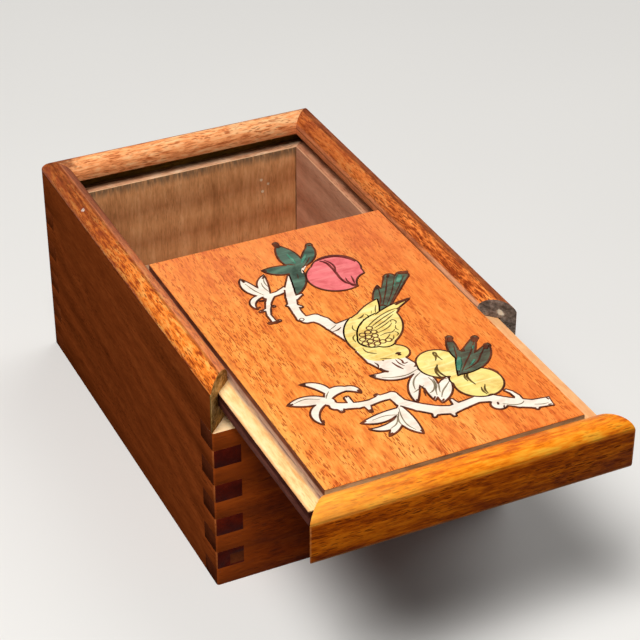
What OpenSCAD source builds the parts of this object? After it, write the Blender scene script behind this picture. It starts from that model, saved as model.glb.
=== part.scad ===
// Trinket box with a sliding lid, finger-jointed corners and a flush inlay of peaches and a bird.
// Millimetres. X runs across the box, Y to the back, Z up; the floor is Z = 0.
// The lid is drawn part way out, and the origin is the middle of the whole footprint.

/* [Box] */
// Outside width of the box, left to right
box_w = 135; // [125:1:150]
// Outside length of the box, front to back
box_l = 200; // [190:1:230]
// Height to the crown of the rim
box_h = 99; // [85:1:115]
// Thickness of the four walls and of the lid rail
wall_t = 12; // [11.5:0.5:13]
// Rise of the half-round rim above its edges
rim_rise = 5.2; // [4.4:0.2:5.4]
// Number of fingers up each corner joint
finger_n = 9; // [7:2:9]
// Radius of the upright outside corners
corner_r = 1; // [0.6:0.2:1.6]
// Thickness of the bottom panel
panel_t = 5; // [4:0.5:6]
// Depth of the groove that holds the bottom panel
panel_groove_d = 6; // [5:0.5:6.5]
// Height of the bottom groove above the lowest finger of the front wall
panel_rise = 0.8; // [0.5:0.1:1]

/* [Lid] */
// How far the lid stands drawn out
lid_out = 88; // [60:1:110]
// Height of the lid groove in the walls
groove_h = 7; // [5:0.5:7.5]
// Depth of the lid groove in the walls
groove_d = 7; // [6:0.5:7.5]
// Wood left above the lid groove at the edge of the rim
lip_t = 3.2; // [2.8:0.2:3.8]
// Height of the raised field above the edge of the rim
field_rise = 1.8; // [0.6:0.2:2.4]
// Width of the channel between the rail and the raised field
channel_w = 3; // [2:0.5:5]
// Radius of the upper edges of the raised field
field_r = 0.8; // [0.4:0.1:1.2]
// How far the rail hangs down below the edge of the rim
rail_drop = 17.3; // [15:0.1:20]
// Radius of the lower edges of the rail
rail_r = 1.4; // [0.6:0.2:2]
// Length of the tenon that joins the panel to the rail
tenon_l = 6; // [4:0.5:7]
// Shoulder above and below the tenon
tenon_shoulder = 1; // [0.6:0.2:1.6]
// Shoulder at each end of the tenon
tenon_inset = 5; // [3:0.5:8]

/* [Inlay] */
// Length of the inlaid picture, from its lowest tip to its highest
picture_l = 155; // [130:1:160]
// Thickness of the inlaid pieces
inlay_t = 1.2; // [0.8:0.1:2]
// Height of the inlaid pieces above the raised field
inlay_proud = 0.2; // [0.1:0.05:0.3]

/* [Fits] */
// Clearance above and below the tongues of the lid, and at its mitres
lid_gap = 0.3; // [0.2:0.05:0.4]
// Clearance between the edges of the tongues and the bottom of their groove
tongue_gap = 0.5; // [0.4:0.1:1]
// Gap between the raised field and the rim
field_gap = 1.3; // [0.8:0.1:2]
// Gap between the closed rail and the front wall
rail_gap = 0.5; // [0.3:0.1:0.8]
// Room left round the bottom panel for the wood to move
panel_gap = 0.5; // [0.3:0.1:0.8]

/* [Hidden] */
$fn = 96;
overrun = 1;
knot_swell = 1.06;
arris_z = box_h - rim_rise;
rim_r = (wall_t * wall_t / 4 + rim_rise * rim_rise) / (2 * rim_rise);
ledge_z = arris_z - lip_t - groove_h;
rail_z = arris_z - rail_drop;
front_z = rail_z - rail_gap;
finger_h = front_z / finger_n;
floor_z = finger_h + panel_rise;
inner_w = box_w - 2 * wall_t;
inner_l = box_l - 2 * wall_t;
panel_reach = panel_groove_d - panel_gap;
tongue_t = groove_h - 2 * lid_gap;
tongue_z = ledge_z + lid_gap;
tongue_reach = groove_d - tongue_gap;
field_z = arris_z + field_rise;
field_w = inner_w - 2 * field_gap;
field_front = -box_l / 2 + wall_t + channel_w;
field_back = box_l / 2 - wall_t - field_gap;
field_l = field_back - field_front;
tenon_t = tongue_t - 2 * tenon_shoulder;
tenon_z = tongue_z + tenon_shoulder;
tenon_w = inner_w - 2 * tenon_inset;
box_y = lid_out / 2;
lid_y = box_y - lid_out;

// Half-round top edge shared by the walls and the rail; X is the distance in from the outside face
module rim_section() {
    intersection() {
        translate([wall_t / 2, box_h - rim_r])
            circle(r = rim_r);
        translate([0, arris_z - overrun])
            square([wall_t, rim_rise + 2 * overrun]);
    }
}

// Section of a full-height wall with the lid groove and the bottom groove
module wall_section() {
    difference() {
        union() {
            square([wall_t, arris_z]);
            rim_section();
        }
        translate([wall_t - groove_d, ledge_z])
            square([groove_d + overrun, groove_h]);
        translate([wall_t - panel_groove_d, floor_z])
            square([panel_groove_d + overrun, panel_t]);
    }
}

// Upright block with the outside corners rounded, trimming every outside piece alike
module outside_block() {
    linear_extrude(box_h + overrun)
        union() {
            square([box_w - 2 * corner_r, box_l], center = true);
            square([box_w, box_l - 2 * corner_r], center = true);
            for (sx = [-1, 1])
                for (sy = [-1, 1])
                    translate([sx * (box_w / 2 - corner_r), sy * (box_l / 2 - corner_r)])
                        circle(r = corner_r);
        }
}

// Corner blocks taken by every second finger, from the first one given, at the four corners
module finger_blocks(first) {
    for (i = [first:2:finger_n - 1])
        for (sx = [-1, 1])
            for (sy = [-1, 1])
                translate([sx * (box_w - wall_t) / 2, sy * (box_l - wall_t) / 2, (i + 0.5) * finger_h])
                    cube([wall_t, wall_t, finger_h], center = true);
}

// Wedges beyond the 45 degree mitres at the four upper corners, cut from the side walls
module side_mitres() {
    out = overrun;
    reach = wall_t + overrun;
    for (sx = [-1, 1])
        for (sy = [-1, 1])
            translate([sx * box_w / 2, sy * box_l / 2, front_z])
                linear_extrude(box_h)
                    polygon([[sx * out, sy * out], [-sx * reach, sy * out], [-sx * reach, -sy * reach]]);
}

// The matching wedges cut from a piece across the front or back, with a gap left in the mitre
module cross_mitres(gap) {
    out = overrun;
    reach = wall_t + overrun;
    for (sx = [-1, 1])
        for (sy = [-1, 1])
            translate([sx * (box_w / 2 - gap), sy * box_l / 2, front_z])
                linear_extrude(box_h)
                    polygon([[sx * out, sy * out], [sx * out, -sy * reach], [-sx * reach, -sy * reach]]);
}

// Side wall on the left, in the frame of the box
module side_wall() {
    difference() {
        intersection() {
            translate([-box_w / 2, box_l / 2, 0])
                rotate([90, 0, 0])
                    linear_extrude(box_l)
                        wall_section();
            outside_block();
        }
        finger_blocks(0);
        side_mitres();
    }
}

module left_wall() {
    color([0.42, 0.17, 0.08])
        translate([0, box_y, 0])
            side_wall();
}

module right_wall() {
    color([0.42, 0.17, 0.08])
        translate([0, box_y, 0])
            mirror([1, 0, 0])
                side_wall();
}

// Lower than the rest, so that the lid rail passes over it
module front_wall() {
    color([0.46, 0.22, 0.10])
        translate([0, box_y, 0])
            difference() {
                intersection() {
                    translate([-box_w / 2, -box_l / 2, 0])
                        cube([box_w, wall_t, front_z]);
                    outside_block();
                }
                finger_blocks(1);
                translate([-box_w / 2, -box_l / 2 + wall_t - panel_groove_d, floor_z])
                    cube([box_w, panel_groove_d + overrun, panel_t]);
            }
}

module back_wall() {
    color([0.46, 0.22, 0.10])
        translate([0, box_y, 0])
            difference() {
                intersection() {
                    translate([box_w / 2, box_l / 2, 0])
                        rotate([90, 0, -90])
                            linear_extrude(box_w)
                                wall_section();
                    outside_block();
                }
                finger_blocks(1);
                cross_mitres(0);
            }
}

// Floor of the box, held loose in the grooves
module bottom_panel() {
    color([0.50, 0.30, 0.16])
        translate([0, box_y, floor_z + panel_t / 2])
            cube([inner_w + 2 * panel_reach, inner_l + 2 * panel_reach, panel_t], center = true);
}

// Four small blocks that close the ends of the side wall grooves
module groove_plugs() {
    plug_l = wall_t - panel_groove_d;
    color([0.55, 0.33, 0.18])
        for (sx = [-1, 1])
            for (sy = [-1, 1])
                translate([sx * (inner_w + panel_groove_d) / 2, box_y + sy * (box_l - plug_l) / 2, floor_z])
                    linear_extrude(panel_t)
                        square([panel_groove_d, plug_l], center = true);
}

// Section of the given width and height, from its lower left corner, with both upper corners rounded
module eased_section(width, height, radius) {
    square([width, height - radius]);
    translate([radius, 0])
        square([width - 2 * radius, height]);
    for (x = [radius, width - radius])
        translate([x, height - radius])
            circle(r = radius);
}

// Tongues on three sides, a raised field and a tenon at the front, as it lies in the closed box
module panel_blank() {
    tongue_w = inner_w + 2 * tongue_reach;
    tongue_front = -box_l / 2 + wall_t;
    translate([-tongue_w / 2, tongue_front, tongue_z])
        cube([tongue_w, inner_l + tongue_reach, tongue_t]);
    translate([0, 0, tongue_z])
        intersection() {
            translate([-field_w / 2, field_back, 0])
                rotate([90, 0, 0])
                    linear_extrude(field_l)
                        eased_section(field_w, field_z - tongue_z, field_r);
            translate([-field_w / 2, field_front, 0])
                rotate([90, 0, 90])
                    linear_extrude(field_w)
                        eased_section(field_l, field_z - tongue_z, field_r);
        }
    translate([-tenon_w / 2, tongue_front - tenon_l, tenon_z])
        cube([tenon_w, tenon_l + overrun, tenon_t]);
}

module lid_panel() {
    color([0.80, 0.40, 0.13])
        translate([0, lid_y, 0])
            difference() {
                panel_blank();
                inlay_layer(overrun) peach_outline();
                inlay_layer(overrun) peach_leaf_outline();
                inlay_layer(overrun) upper_branch_outline();
                inlay_layer(overrun) upper_sprig_outline();
                inlay_layer(overrun) bird_body_outline();
                inlay_layer(overrun) bird_wing_outline();
                inlay_layer(overrun) bird_tail_outline();
                inlay_layer(overrun) bird_sprig_outline();
                inlay_layer(overrun) fruit_upper_outline();
                inlay_layer(overrun) fruit_lower_outline();
                inlay_layer(overrun) fruit_leaf_outline();
                inlay_layer(overrun) lower_branch_outline();
                inlay_layer(overrun) left_sprig_outline();
                inlay_layer(overrun) low_sprig_outline();
            }
}

module rail_section() {
    translate([0, arris_z])
        mirror([0, 1])
            eased_section(wall_t, arris_z - rail_z, rail_r);
    rim_section();
}

// Cross piece at the front of the lid, moulded like the rim and mitred between the side walls
module lid_rail() {
    color([0.62, 0.29, 0.09])
        translate([0, lid_y, 0])
            difference() {
                intersection() {
                    translate([-box_w / 2, -box_l / 2, 0])
                        rotate([90, 0, 90])
                            linear_extrude(box_w)
                                rail_section();
                    outside_block();
                }
                cross_mitres(lid_gap);
                translate([-tenon_w / 2, -box_l / 2 + wall_t - tenon_l, tenon_z])
                    cube([tenon_w, tenon_l + overrun, tenon_t]);
            }
}

// Extrudes an outline of the picture from the bottom of its pocket, past the proud face by the given height.
// The outlines are drawn from the middle of the field, for a picture 155 mm long.
module inlay_layer(extra) {
    translate([0, (field_front + field_back) / 2, field_z + inlay_proud - inlay_t])
        linear_extrude(inlay_t + extra)
            scale(picture_l / 155)
                children();
}

module inlaid() {
    translate([0, lid_y, 0])
        inlay_layer(0)
            children();
}

// Circle through the base and the tip of a blade, swelling to its left by the given height
module swell_circle(span, swell) {
    radius = (span * span / 4 + swell * swell) / (2 * swell);
    translate([span / 2, swell - radius])
        circle(r = radius);
}

// Leaf between two arcs from a base to a tip; a negative right swell hollows that side into a hook
module blade(base, tip, left, right) {
    span = norm(tip - base);
    translate(base)
        rotate(atan2(tip[1] - base[1], tip[0] - base[0]))
            if (right > 0) {
                intersection() {
                    swell_circle(span, left);
                    mirror([0, 1])
                        swell_circle(span, right);
                }
            } else {
                difference() {
                    swell_circle(span, left);
                    swell_circle(span, -right);
                }
            }
}

// Straight stretch of a branch between two knots, each given as x, y and half width
module stretch(from, to) {
    along = [to[0] - from[0], to[1] - from[1]];
    side = [-along[1], along[0]] / norm(along);
    a = [from[0], from[1]];
    b = [to[0], to[1]];
    polygon([a + side * from[2], a - side * from[2], b - side * to[2], b + side * to[2]]);
}

// Branch through a list of knots, with a slightly swollen joint at each
module limb(knots) {
    for (knot = knots)
        translate([knot[0], knot[1]])
            circle(r = knot[2] * knot_swell);
    for (i = [0:len(knots) - 2])
        stretch(knots[i], knots[i + 1]);
}

// Pink peach of two lobes, hollowed beside the point where they meet
module peach_outline() {
    difference() {
        translate([12.6, 43.5])
            circle(r = 12.2);
        translate([26.5, 31.5])
            circle(r = 9);
    }
    translate([15.4, 48.6])
        circle(r = 10.5);
}

module peach_leaf_outline() {
    blade([1.2, 52], [0.4, 76.4], 4.1, 4.6);
    limb([[0.4, 73, 0.8], [0.6, 77.8, 1]]);
    blade([2.4, 55.4], [13.8, 71.8], 1.4, 4.2);
    limb([[12.2, 69, 1.2], [13.2, 70.8, 1.2]]);
    blade([3, 55.6], [-13.6, 60.2], 4.8, 2.4);
    blade([1.6, 57], [-8.2, 36.4], 3.6, 4.2);
}

module upper_branch_outline() {
    limb([
        [-5.4, 51.2, 0.5], [-7.4, 46.4, 1.3], [-9.3, 42, 2], [-11.2, 36, 2.2], [-13.2, 30, 2],
        [-13.8, 24.4, 1.9], [-13.9, 19.6, 2.2], [-12.6, 17.9, 2.5], [-9.2, 17.4, 2.8], [-7, 14, 2.7],
        [-5.8, 9, 2.6], [-4.4, 3, 2.4], [-3.8, -2, 1.8]
    ]);
    limb([[-10, 34.6, 1.5], [-6.6, 36, 0.6]]);
    limb([[-13, 31, 1.4], [-15.2, 30.8, 0.6]]);
    limb([[-12.2, 29, 1.2], [-10.6, 27.6, 0.7]]);
    limb([[-3.4, 7.4, 2.6], [2, 9.8, 1.2]]);
}

module upper_sprig_outline() {
    blade([-19.5, 40], [-24.4, 58], 4.5, 1);
    blade([-18.6, 40.2], [-14.2, 56.8], 4.1, 0.6);
    blade([-27.2, 33.2], [-18.6, 41], 5.8, -3);
    limb([[-20, 40.4, 1.6], [-15, 41, 1.4], [-10.4, 42.6, 1.9]]);
    limb([[-18.6, 40, 1.5], [-21.4, 36, 1.2], [-23.6, 31.4, 1.1], [-25, 27.4, 0.9], [-25, 22.4, 1]]);
    limb([[-23.4, 31.6, 0.9], [-26.8, 31.2, 0.6]]);
    limb([[-22.2, 34, 0.8], [-20.4, 32.6, 0.5]]);
    limb([[-27, 21.8, 0.6], [-25, 21.6, 0.7], [-22.8, 21.9, 0.6]]);
}

module bird_body_outline() {
    blade([-1, -18.5], [3.7, 11.6], 6.4, 9);
    blade([-1, -4], [20, 19.6], 5, 4);
    blade([1, 8.6], [11, 13.8], 1, 1);
    translate([9.6, -18.7])
        circle(r = 4.9);
    translate([2.6, -14.4])
        circle(r = 7.2);
    stretch([2.6, -14.4, 7.2], [9.6, -18.7, 4.9]);
}

module bird_wing_outline() {
    translate([4.6, -6.4])
        circle(r = 5.8);
    blade([-0.8, -7.4], [14, 10], 3.9, 6);
    translate([8.4, -9.2])
        circle(r = 4.7);
    blade([8.6, -13.2], [22.4, 8.6], 9, 4.4);
    blade([12, 2], [25.4, 10], 1.8, 1.4);
    blade([5, 2.6], [32.4, 14.6], 2.8, 1.5);
}

// Tail of one short feather and two long blunt ones
module bird_tail_outline() {
    blade([16.4, 11], [24.8, 29.2], 2, 3);
    limb([[19.6, 13, 2.6], [32.4, 32.8, 2.3]]);
    limb([[20.6, 13.4, 1.9], [37.8, 31.8, 2.6]]);
    blade([30, 28], [41.2, 33.8], 2, 2);
}

module bird_sprig_outline() {
    limb([[-3.4, -12, 1.6], [-2.2, -20, 2.2], [1.6, -27, 3.2], [5.6, -30.4, 3]]);
    limb([[5, -22, 3], [8, -28, 3.2]]);
    limb([[8.6, -22, 1.8], [10.2, -28.6, 2]]);
    blade([13, -31], [-7.6, -28.8], 6.2, 0.4);
    blade([10, -34], [0.4, -53], 1, 3.4);
    blade([11, -32], [7.6, -46], 2, 2.6);
    blade([13, -34], [7.4, -54.4], 3.4, 2.4);
    blade([19, -42], [9.2, -56.8], 3, 3.3);
}

module fruit_upper_outline() {
    translate([20.3, -33.6])
        circle(r = 8.8);
    translate([20.5, -31.7])
        circle(r = 8.5);
}

module fruit_lower_outline() {
    translate([28.2, -50.6])
        circle(r = 9.8);
    translate([22.6, -45.6])
        circle(r = 4);
}

// Three long leaves that spread from one point
module fruit_leaf_outline() {
    blade([23, -43.6], [31.4, -26.4], 0.4, 5);
    blade([28.4, -34.4], [32.8, -17.2], 2.2, 1.7);
    limb([[31.8, -20, 0.9], [32.8, -18.4, 1.2]]);
    blade([23.6, -43.4], [42.6, -21.6], 2.6, 2.6);
    limb([[40.6, -24.4, 1], [42, -22.8, 1.2]]);
    blade([23.8, -43.2], [44.8, -28.4], 1.6, 5.6);
    limb([[42, -31, 1.2], [43.8, -29.6, 1.2]]);
}

module lower_branch_outline() {
    stretch([47, -73.4, 2.8], [40, -72.2, 2.7]);
    limb([
        [40, -72.2, 2.6], [35.4, -69.4, 2.8], [31, -66, 2.7], [27, -61.8, 2.4], [22, -60.5, 2.1],
        [16, -61.4, 2.2], [10, -62.3, 2.6], [5, -60.2, 2.8], [-0.4, -55.4, 2.5], [-5, -49.8, 2.3],
        [-5.8, -44.2, 2.2], [-10.6, -44.1, 1.9], [-15.6, -45, 1.7], [-20.4, -44.6, 1.9], [-25, -43, 2],
        [-28.4, -41.4, 2.2]
    ]);
    limb([[36, -68.4, 2], [36.8, -65.2, 1.2], [36.2, -62, 0.9], [35, -60, 0.7]]);
    translate([28, -66.8])
        circle(r = 3.2);
    limb([[40.6, -73.4, 1.4], [39.8, -75.2, 0.7]]);
    limb([[13.4, -60, 1.4], [13.2, -56.6, 0.7]]);
    limb([[9.6, -63, 1.6], [9.4, -65.8, 0.7]]);
    limb([[3.6, -61.4, 1.4], [2.4, -63.2, 0.7]]);
    limb([[-10.6, -43.6, 1.4], [-11.2, -41.6, 0.7]]);
    limb([[-17.4, -45.6, 1.6], [-17.8, -50, 0.6]]);
    limb([[-22.4, -43, 1.2], [-22.2, -38.6, 1.1]]);
    limb([[-27.4, -43, 1.6], [-27.6, -45.4, 0.7]]);
}

module left_sprig_outline() {
    blade([-28, -37], [-44.8, -33.4], 2.2, 4.2);
    blade([-34.8, -22.8], [-27.4, -36.6], 5.4, -1.2);
    blade([-29.4, -38.4], [-17.6, -34.6], 6.8, -1.8);
    blade([-23, -33.2], [-15.8, -37.8], 4.2, -0.6);
    blade([-37.4, -50.4], [-28.4, -38], 6.6, -3);
    translate([-29.4, -37.8])
        circle(r = 2.5);
}

module low_sprig_outline() {
    blade([-6.6, -52.6], [-24.8, -55.4], 4.4, 1.2);
    blade([-8.4, -54.4], [-23.6, -60], 6.6, -2.6);
    blade([-9, -55.6], [-18.8, -67.2], 3, 0.6);
    blade([-6.2, -50.6], [-6.4, -71.2], 1.3, 5.2);
}

module peach() {
    color([0.78, 0.36, 0.36])
        inlaid()
            peach_outline();
}

module peach_leaves() {
    color([0.15, 0.26, 0.19])
        inlaid()
            difference() {
                peach_leaf_outline();
                peach_outline();
                upper_branch_outline();
            }
}

module upper_branch() {
    color([0.86, 0.82, 0.70])
        inlaid()
            difference() {
                upper_branch_outline();
                bird_body_outline();
            }
}

module upper_sprig() {
    color([0.86, 0.82, 0.70])
        inlaid()
            difference() {
                upper_sprig_outline();
                upper_branch_outline();
            }
}

module bird_body() {
    color([0.82, 0.72, 0.36])
        inlaid()
            difference() {
                bird_body_outline();
                bird_wing_outline();
            }
}

module bird_wing() {
    color([0.80, 0.70, 0.38])
        inlaid()
            bird_wing_outline();
}

module bird_tail() {
    color([0.15, 0.26, 0.19])
        inlaid()
            difference() {
                bird_tail_outline();
                bird_body_outline();
                bird_wing_outline();
            }
}

module bird_sprig() {
    color([0.86, 0.82, 0.70])
        inlaid()
            difference() {
                bird_sprig_outline();
                bird_body_outline();
                fruit_upper_outline();
                fruit_lower_outline();
                lower_branch_outline();
            }
}

module fruit_upper() {
    color([0.84, 0.69, 0.30])
        inlaid()
            difference() {
                fruit_upper_outline();
                fruit_leaf_outline();
            }
}

module fruit_lower() {
    color([0.84, 0.69, 0.30])
        inlaid()
            difference() {
                fruit_lower_outline();
                fruit_upper_outline();
                fruit_leaf_outline();
            }
}

module fruit_leaves() {
    color([0.15, 0.26, 0.19])
        inlaid()
            fruit_leaf_outline();
}

module lower_branch() {
    color([0.86, 0.82, 0.70])
        inlaid()
            difference() {
                lower_branch_outline();
                fruit_lower_outline();
            }
}

module left_sprig() {
    color([0.86, 0.82, 0.70])
        inlaid()
            difference() {
                left_sprig_outline();
                lower_branch_outline();
            }
}

module low_sprig() {
    color([0.86, 0.82, 0.70])
        inlaid()
            difference() {
                low_sprig_outline();
                lower_branch_outline();
            }
}

left_wall();
right_wall();
front_wall();
back_wall();
bottom_panel();
groove_plugs();
lid_panel();
lid_rail();
peach();
peach_leaves();
upper_branch();
upper_sprig();
bird_body();
bird_wing();
bird_tail();
bird_sprig();
fruit_upper();
fruit_lower();
fruit_leaves();
lower_branch();
left_sprig();
low_sprig();
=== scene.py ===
"""Looks of a sliding-lid trinket box with an inlaid bird among peaches.

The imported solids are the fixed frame. The boards are modelled anew with eased edges, the inlaid pieces keep
their solids, and dark drawn lines are laid over them. Sizes are millimetres until Bench turns them to metres.
"""

import logging
import math
from collections.abc import Callable, Iterator, Sequence
from contextlib import contextmanager
from dataclasses import dataclass
from enum import Enum
from functools import cache
from typing import ClassVar

import bmesh
import bpy
from mathutils import Euler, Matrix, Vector


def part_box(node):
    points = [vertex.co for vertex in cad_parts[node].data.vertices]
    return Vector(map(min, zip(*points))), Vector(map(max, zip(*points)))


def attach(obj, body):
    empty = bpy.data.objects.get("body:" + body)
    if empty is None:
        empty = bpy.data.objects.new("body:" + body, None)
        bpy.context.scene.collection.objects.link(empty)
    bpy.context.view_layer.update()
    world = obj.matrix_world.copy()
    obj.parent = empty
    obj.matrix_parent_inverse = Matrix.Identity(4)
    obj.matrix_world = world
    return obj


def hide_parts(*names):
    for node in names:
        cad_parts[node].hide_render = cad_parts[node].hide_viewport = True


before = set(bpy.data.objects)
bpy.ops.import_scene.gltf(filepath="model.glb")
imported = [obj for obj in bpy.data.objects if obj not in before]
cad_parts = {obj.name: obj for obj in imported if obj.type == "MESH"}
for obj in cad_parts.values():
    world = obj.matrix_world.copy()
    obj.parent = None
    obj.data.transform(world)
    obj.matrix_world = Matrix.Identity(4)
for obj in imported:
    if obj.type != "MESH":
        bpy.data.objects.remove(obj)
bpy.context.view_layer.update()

# One millimetre in metres
MM = 0.001

# Places this close count as one, and a cutter reaches this far past its board, in millimetres
NEAR = 0.05
OVER = 1.0

# Margins for telling faces apart by their place, in millimetres
HAIR = 0.1
EDGE = 0.3
MARGIN = 0.5
SKIN = 0.6

# Cosines for telling faces apart by their direction, from square on to leaning
SQUARE = 0.9
STEEP = 0.6
LEANING = 0.5

Colour = tuple[float, float, float, float]
Point = tuple[float, float, float]
Spot = tuple[float, float]
Test = Callable[[Vector, Vector], bool]
Piece = bpy.types.Object
Tree = bpy.types.NodeTree
Node = bpy.types.Node
Socket = bpy.types.NodeSocket
Sockets = dict[str, Socket]
Inputs = dict[str | int, object]

log = logging.getLogger("trinket_box")


class Body(Enum):
    """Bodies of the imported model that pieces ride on."""

    BOX = "box"
    LID = "lid"


class Axis(Enum):
    """Axes of the shared frame, by their place in a vector."""

    X = 0
    Y = 1
    Z = 2


class Grain(Enum):
    """Run of a board's fibres, as the axes read across, along and through it."""

    ALONG_X = (Axis.Y, Axis.X, Axis.Z)
    ALONG_Y = (Axis.X, Axis.Y, Axis.Z)
    ALONG_Z = (Axis.X, Axis.Z, Axis.Y)


class Pick(Enum):
    """Kinds of mesh element that a selection works on."""

    EDGES = "EDGE"
    FACES = "FACE"


def tone(red: int, green: int, blue: int) -> Colour:
    """Turns a screen colour into linear light.

    Args:
        red: Red part, 0 to 255.
        green: Green part, 0 to 255.
        blue: Blue part, 0 to 255.

    Returns:
        The colour in linear light, opaque.
    """
    parts = [part / 255 for part in (red, green, blue)]
    light = [p / 12.92 if p <= 0.04045 else ((p + 0.055) / 1.055) ** 2.4 for p in parts]
    return (light[0], light[1], light[2], 1.0)


class Bench:
    """Workbench calls on one mesh at a time: primitives, edit-mode tools and modifiers, in millimetres.

    Attributes:
        EASE_STEPS: Steps across a broken edge.
        SHARP: Turn between two faces from which their edge is broken, in degrees.
        SMOOTH: Turn up to which two faces are shaded as one, in degrees.
    """

    EASE_STEPS: ClassVar[int] = 2
    SHARP: ClassVar[float] = 32.0
    SMOOTH: ClassVar[float] = 40.0

    @staticmethod
    def take(piece: Piece | None = None) -> None:
        """Deselects all objects, then selects the piece where one is given.

        Args:
            piece: Piece to select and make active.
        """
        bpy.ops.object.select_all(action="DESELECT")
        if piece is not None:
            piece.select_set(True)
            bpy.context.view_layer.objects.active = piece

    @classmethod
    def block(cls, name: str, low: Point, high: Point, turn: float = 0.0) -> Piece:
        """Adds a cube between two corners, with its place in its mesh.

        Args:
            name: Name of the new piece.
            low: Lowest corner.
            high: Highest corner.
            turn: Turn about the upright through the block's middle, in degrees.

        Returns:
            The new piece.
        """
        cls.take()
        middle = [(a + b) / 2 * MM for a, b in zip(low, high)]
        size = [(b - a) * MM for a, b in zip(low, high)]
        angles = (0, 0, math.radians(turn))
        bpy.ops.mesh.primitive_cube_add(size=1, location=middle, scale=size, rotation=angles)
        bpy.ops.object.transform_apply(location=True, rotation=True, scale=True)
        piece = bpy.context.object
        piece.name = name
        piece.data.name = name
        return piece

    @classmethod
    @contextmanager
    def editing(cls, piece: Piece) -> Iterator[None]:
        """Opens a piece in edit mode with nothing selected, and closes it again.

        Args:
            piece: Piece to edit.

        Returns:
            A context in which edit-mode operators act on the piece.
        """
        cls.take(piece)
        bpy.ops.object.mode_set(mode="EDIT")
        bpy.ops.mesh.select_all(action="DESELECT")
        yield
        bpy.ops.object.mode_set(mode="OBJECT")

    @staticmethod
    def pick(piece: Piece, kind: Pick, test: Test) -> None:
        """Selects the faces or edges that pass a test, in edit mode.

        Args:
            piece: Piece in edit mode.
            kind: Kind of element.
            test: Takes the element's middle in millimetres and its normal or direction.
        """
        bpy.ops.mesh.select_mode(type=kind.value)
        bpy.ops.mesh.select_all(action="DESELECT")
        mesh = bmesh.from_edit_mesh(piece.data)
        if kind is Pick.FACES:
            for face in mesh.faces:
                face.select_set(test(face.calc_center_median() / MM, face.normal))
        else:
            for edge in mesh.edges:
                start, end = (corner.co for corner in edge.verts)
                edge.select_set(test((start + end) / 2 / MM, (end - start).normalized()))
        bmesh.update_edit_mesh(piece.data)

    @staticmethod
    def slice(place: Point, normal: Point, trim: bool = False) -> None:
        """Cuts the whole mesh in edit mode along a plane.

        Args:
            place: Point of the plane.
            normal: Direction the plane faces.
            trim: Removes what lies beyond the plane and closes the cut.
        """
        bpy.ops.mesh.select_all(action="SELECT")
        spot = [part * MM for part in place]
        bpy.ops.mesh.bisect(plane_co=spot, plane_no=normal, use_fill=trim, clear_outer=trim)

    @staticmethod
    def extrude(step: Point) -> None:
        """Extrudes the selected faces by a step, in edit mode."""
        bpy.ops.mesh.extrude_region_move(TRANSFORM_OT_translate={"value": [part * MM for part in step]})

    @classmethod
    def cut(cls, piece: Piece, *cutters: Piece, keep: bool = False) -> None:
        """Takes cutters out of a piece, one after another, and deletes them.

        Args:
            piece: Piece to cut.
            cutters: Solids to take out of it.
            keep: Keeps only what lies inside the cutter instead.
        """
        for cutter in cutters:
            cls.take(piece)
            knife = piece.modifiers.new("cut", "BOOLEAN")
            knife.operation = "INTERSECT" if keep else "DIFFERENCE"
            knife.solver = "EXACT"
            knife.object = cutter
            bpy.ops.object.modifier_apply(modifier=knife.name)
            cls.take(cutter)
            bpy.ops.object.delete()

    @classmethod
    def row(cls, piece: Piece, count: int, step: Point) -> Piece:
        """Repeats a piece along a step, as one mesh.

        Args:
            piece: Piece to repeat.
            count: Number of copies, the first one included.
            step: Way from one copy to the next.

        Returns:
            The same piece.
        """
        cls.take(piece)
        array = piece.modifiers.new("row", "ARRAY")
        array.count = count
        array.use_relative_offset = False
        array.use_constant_offset = True
        array.constant_offset_displace = [part * MM for part in step]
        bpy.ops.object.modifier_apply(modifier=array.name)
        return piece

    @classmethod
    def ease(cls, piece: Piece, width: float) -> None:
        """Breaks the sharp edges of a finished board and smooths its shading.

        Args:
            piece: Board.
            width: Width of the broken edge.
        """
        cls.take(piece)
        bevel = piece.modifiers.new("ease", "BEVEL")
        bevel.width = width * MM
        bevel.segments = cls.EASE_STEPS
        bevel.limit_method = "ANGLE"
        bevel.angle_limit = math.radians(cls.SHARP)
        bpy.ops.object.modifier_apply(modifier=bevel.name)
        bpy.ops.object.shade_smooth_by_angle(angle=math.radians(cls.SMOOTH))

    @classmethod
    def paint(cls, piece: Piece, finish: "Finish", test: Test | None = None) -> None:
        """Gives a finish to the faces that pass a test, or to the whole piece.

        Args:
            piece: Finished mesh.
            finish: Finish to give.
            test: Takes a face's middle in millimetres and its normal.
        """
        piece.data.materials.append(finish.material())
        if test is None:
            return
        with cls.editing(piece):
            cls.pick(piece, Pick.FACES, test)
            piece.active_material_index = len(piece.data.materials) - 1
            bpy.ops.object.material_slot_assign()


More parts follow.
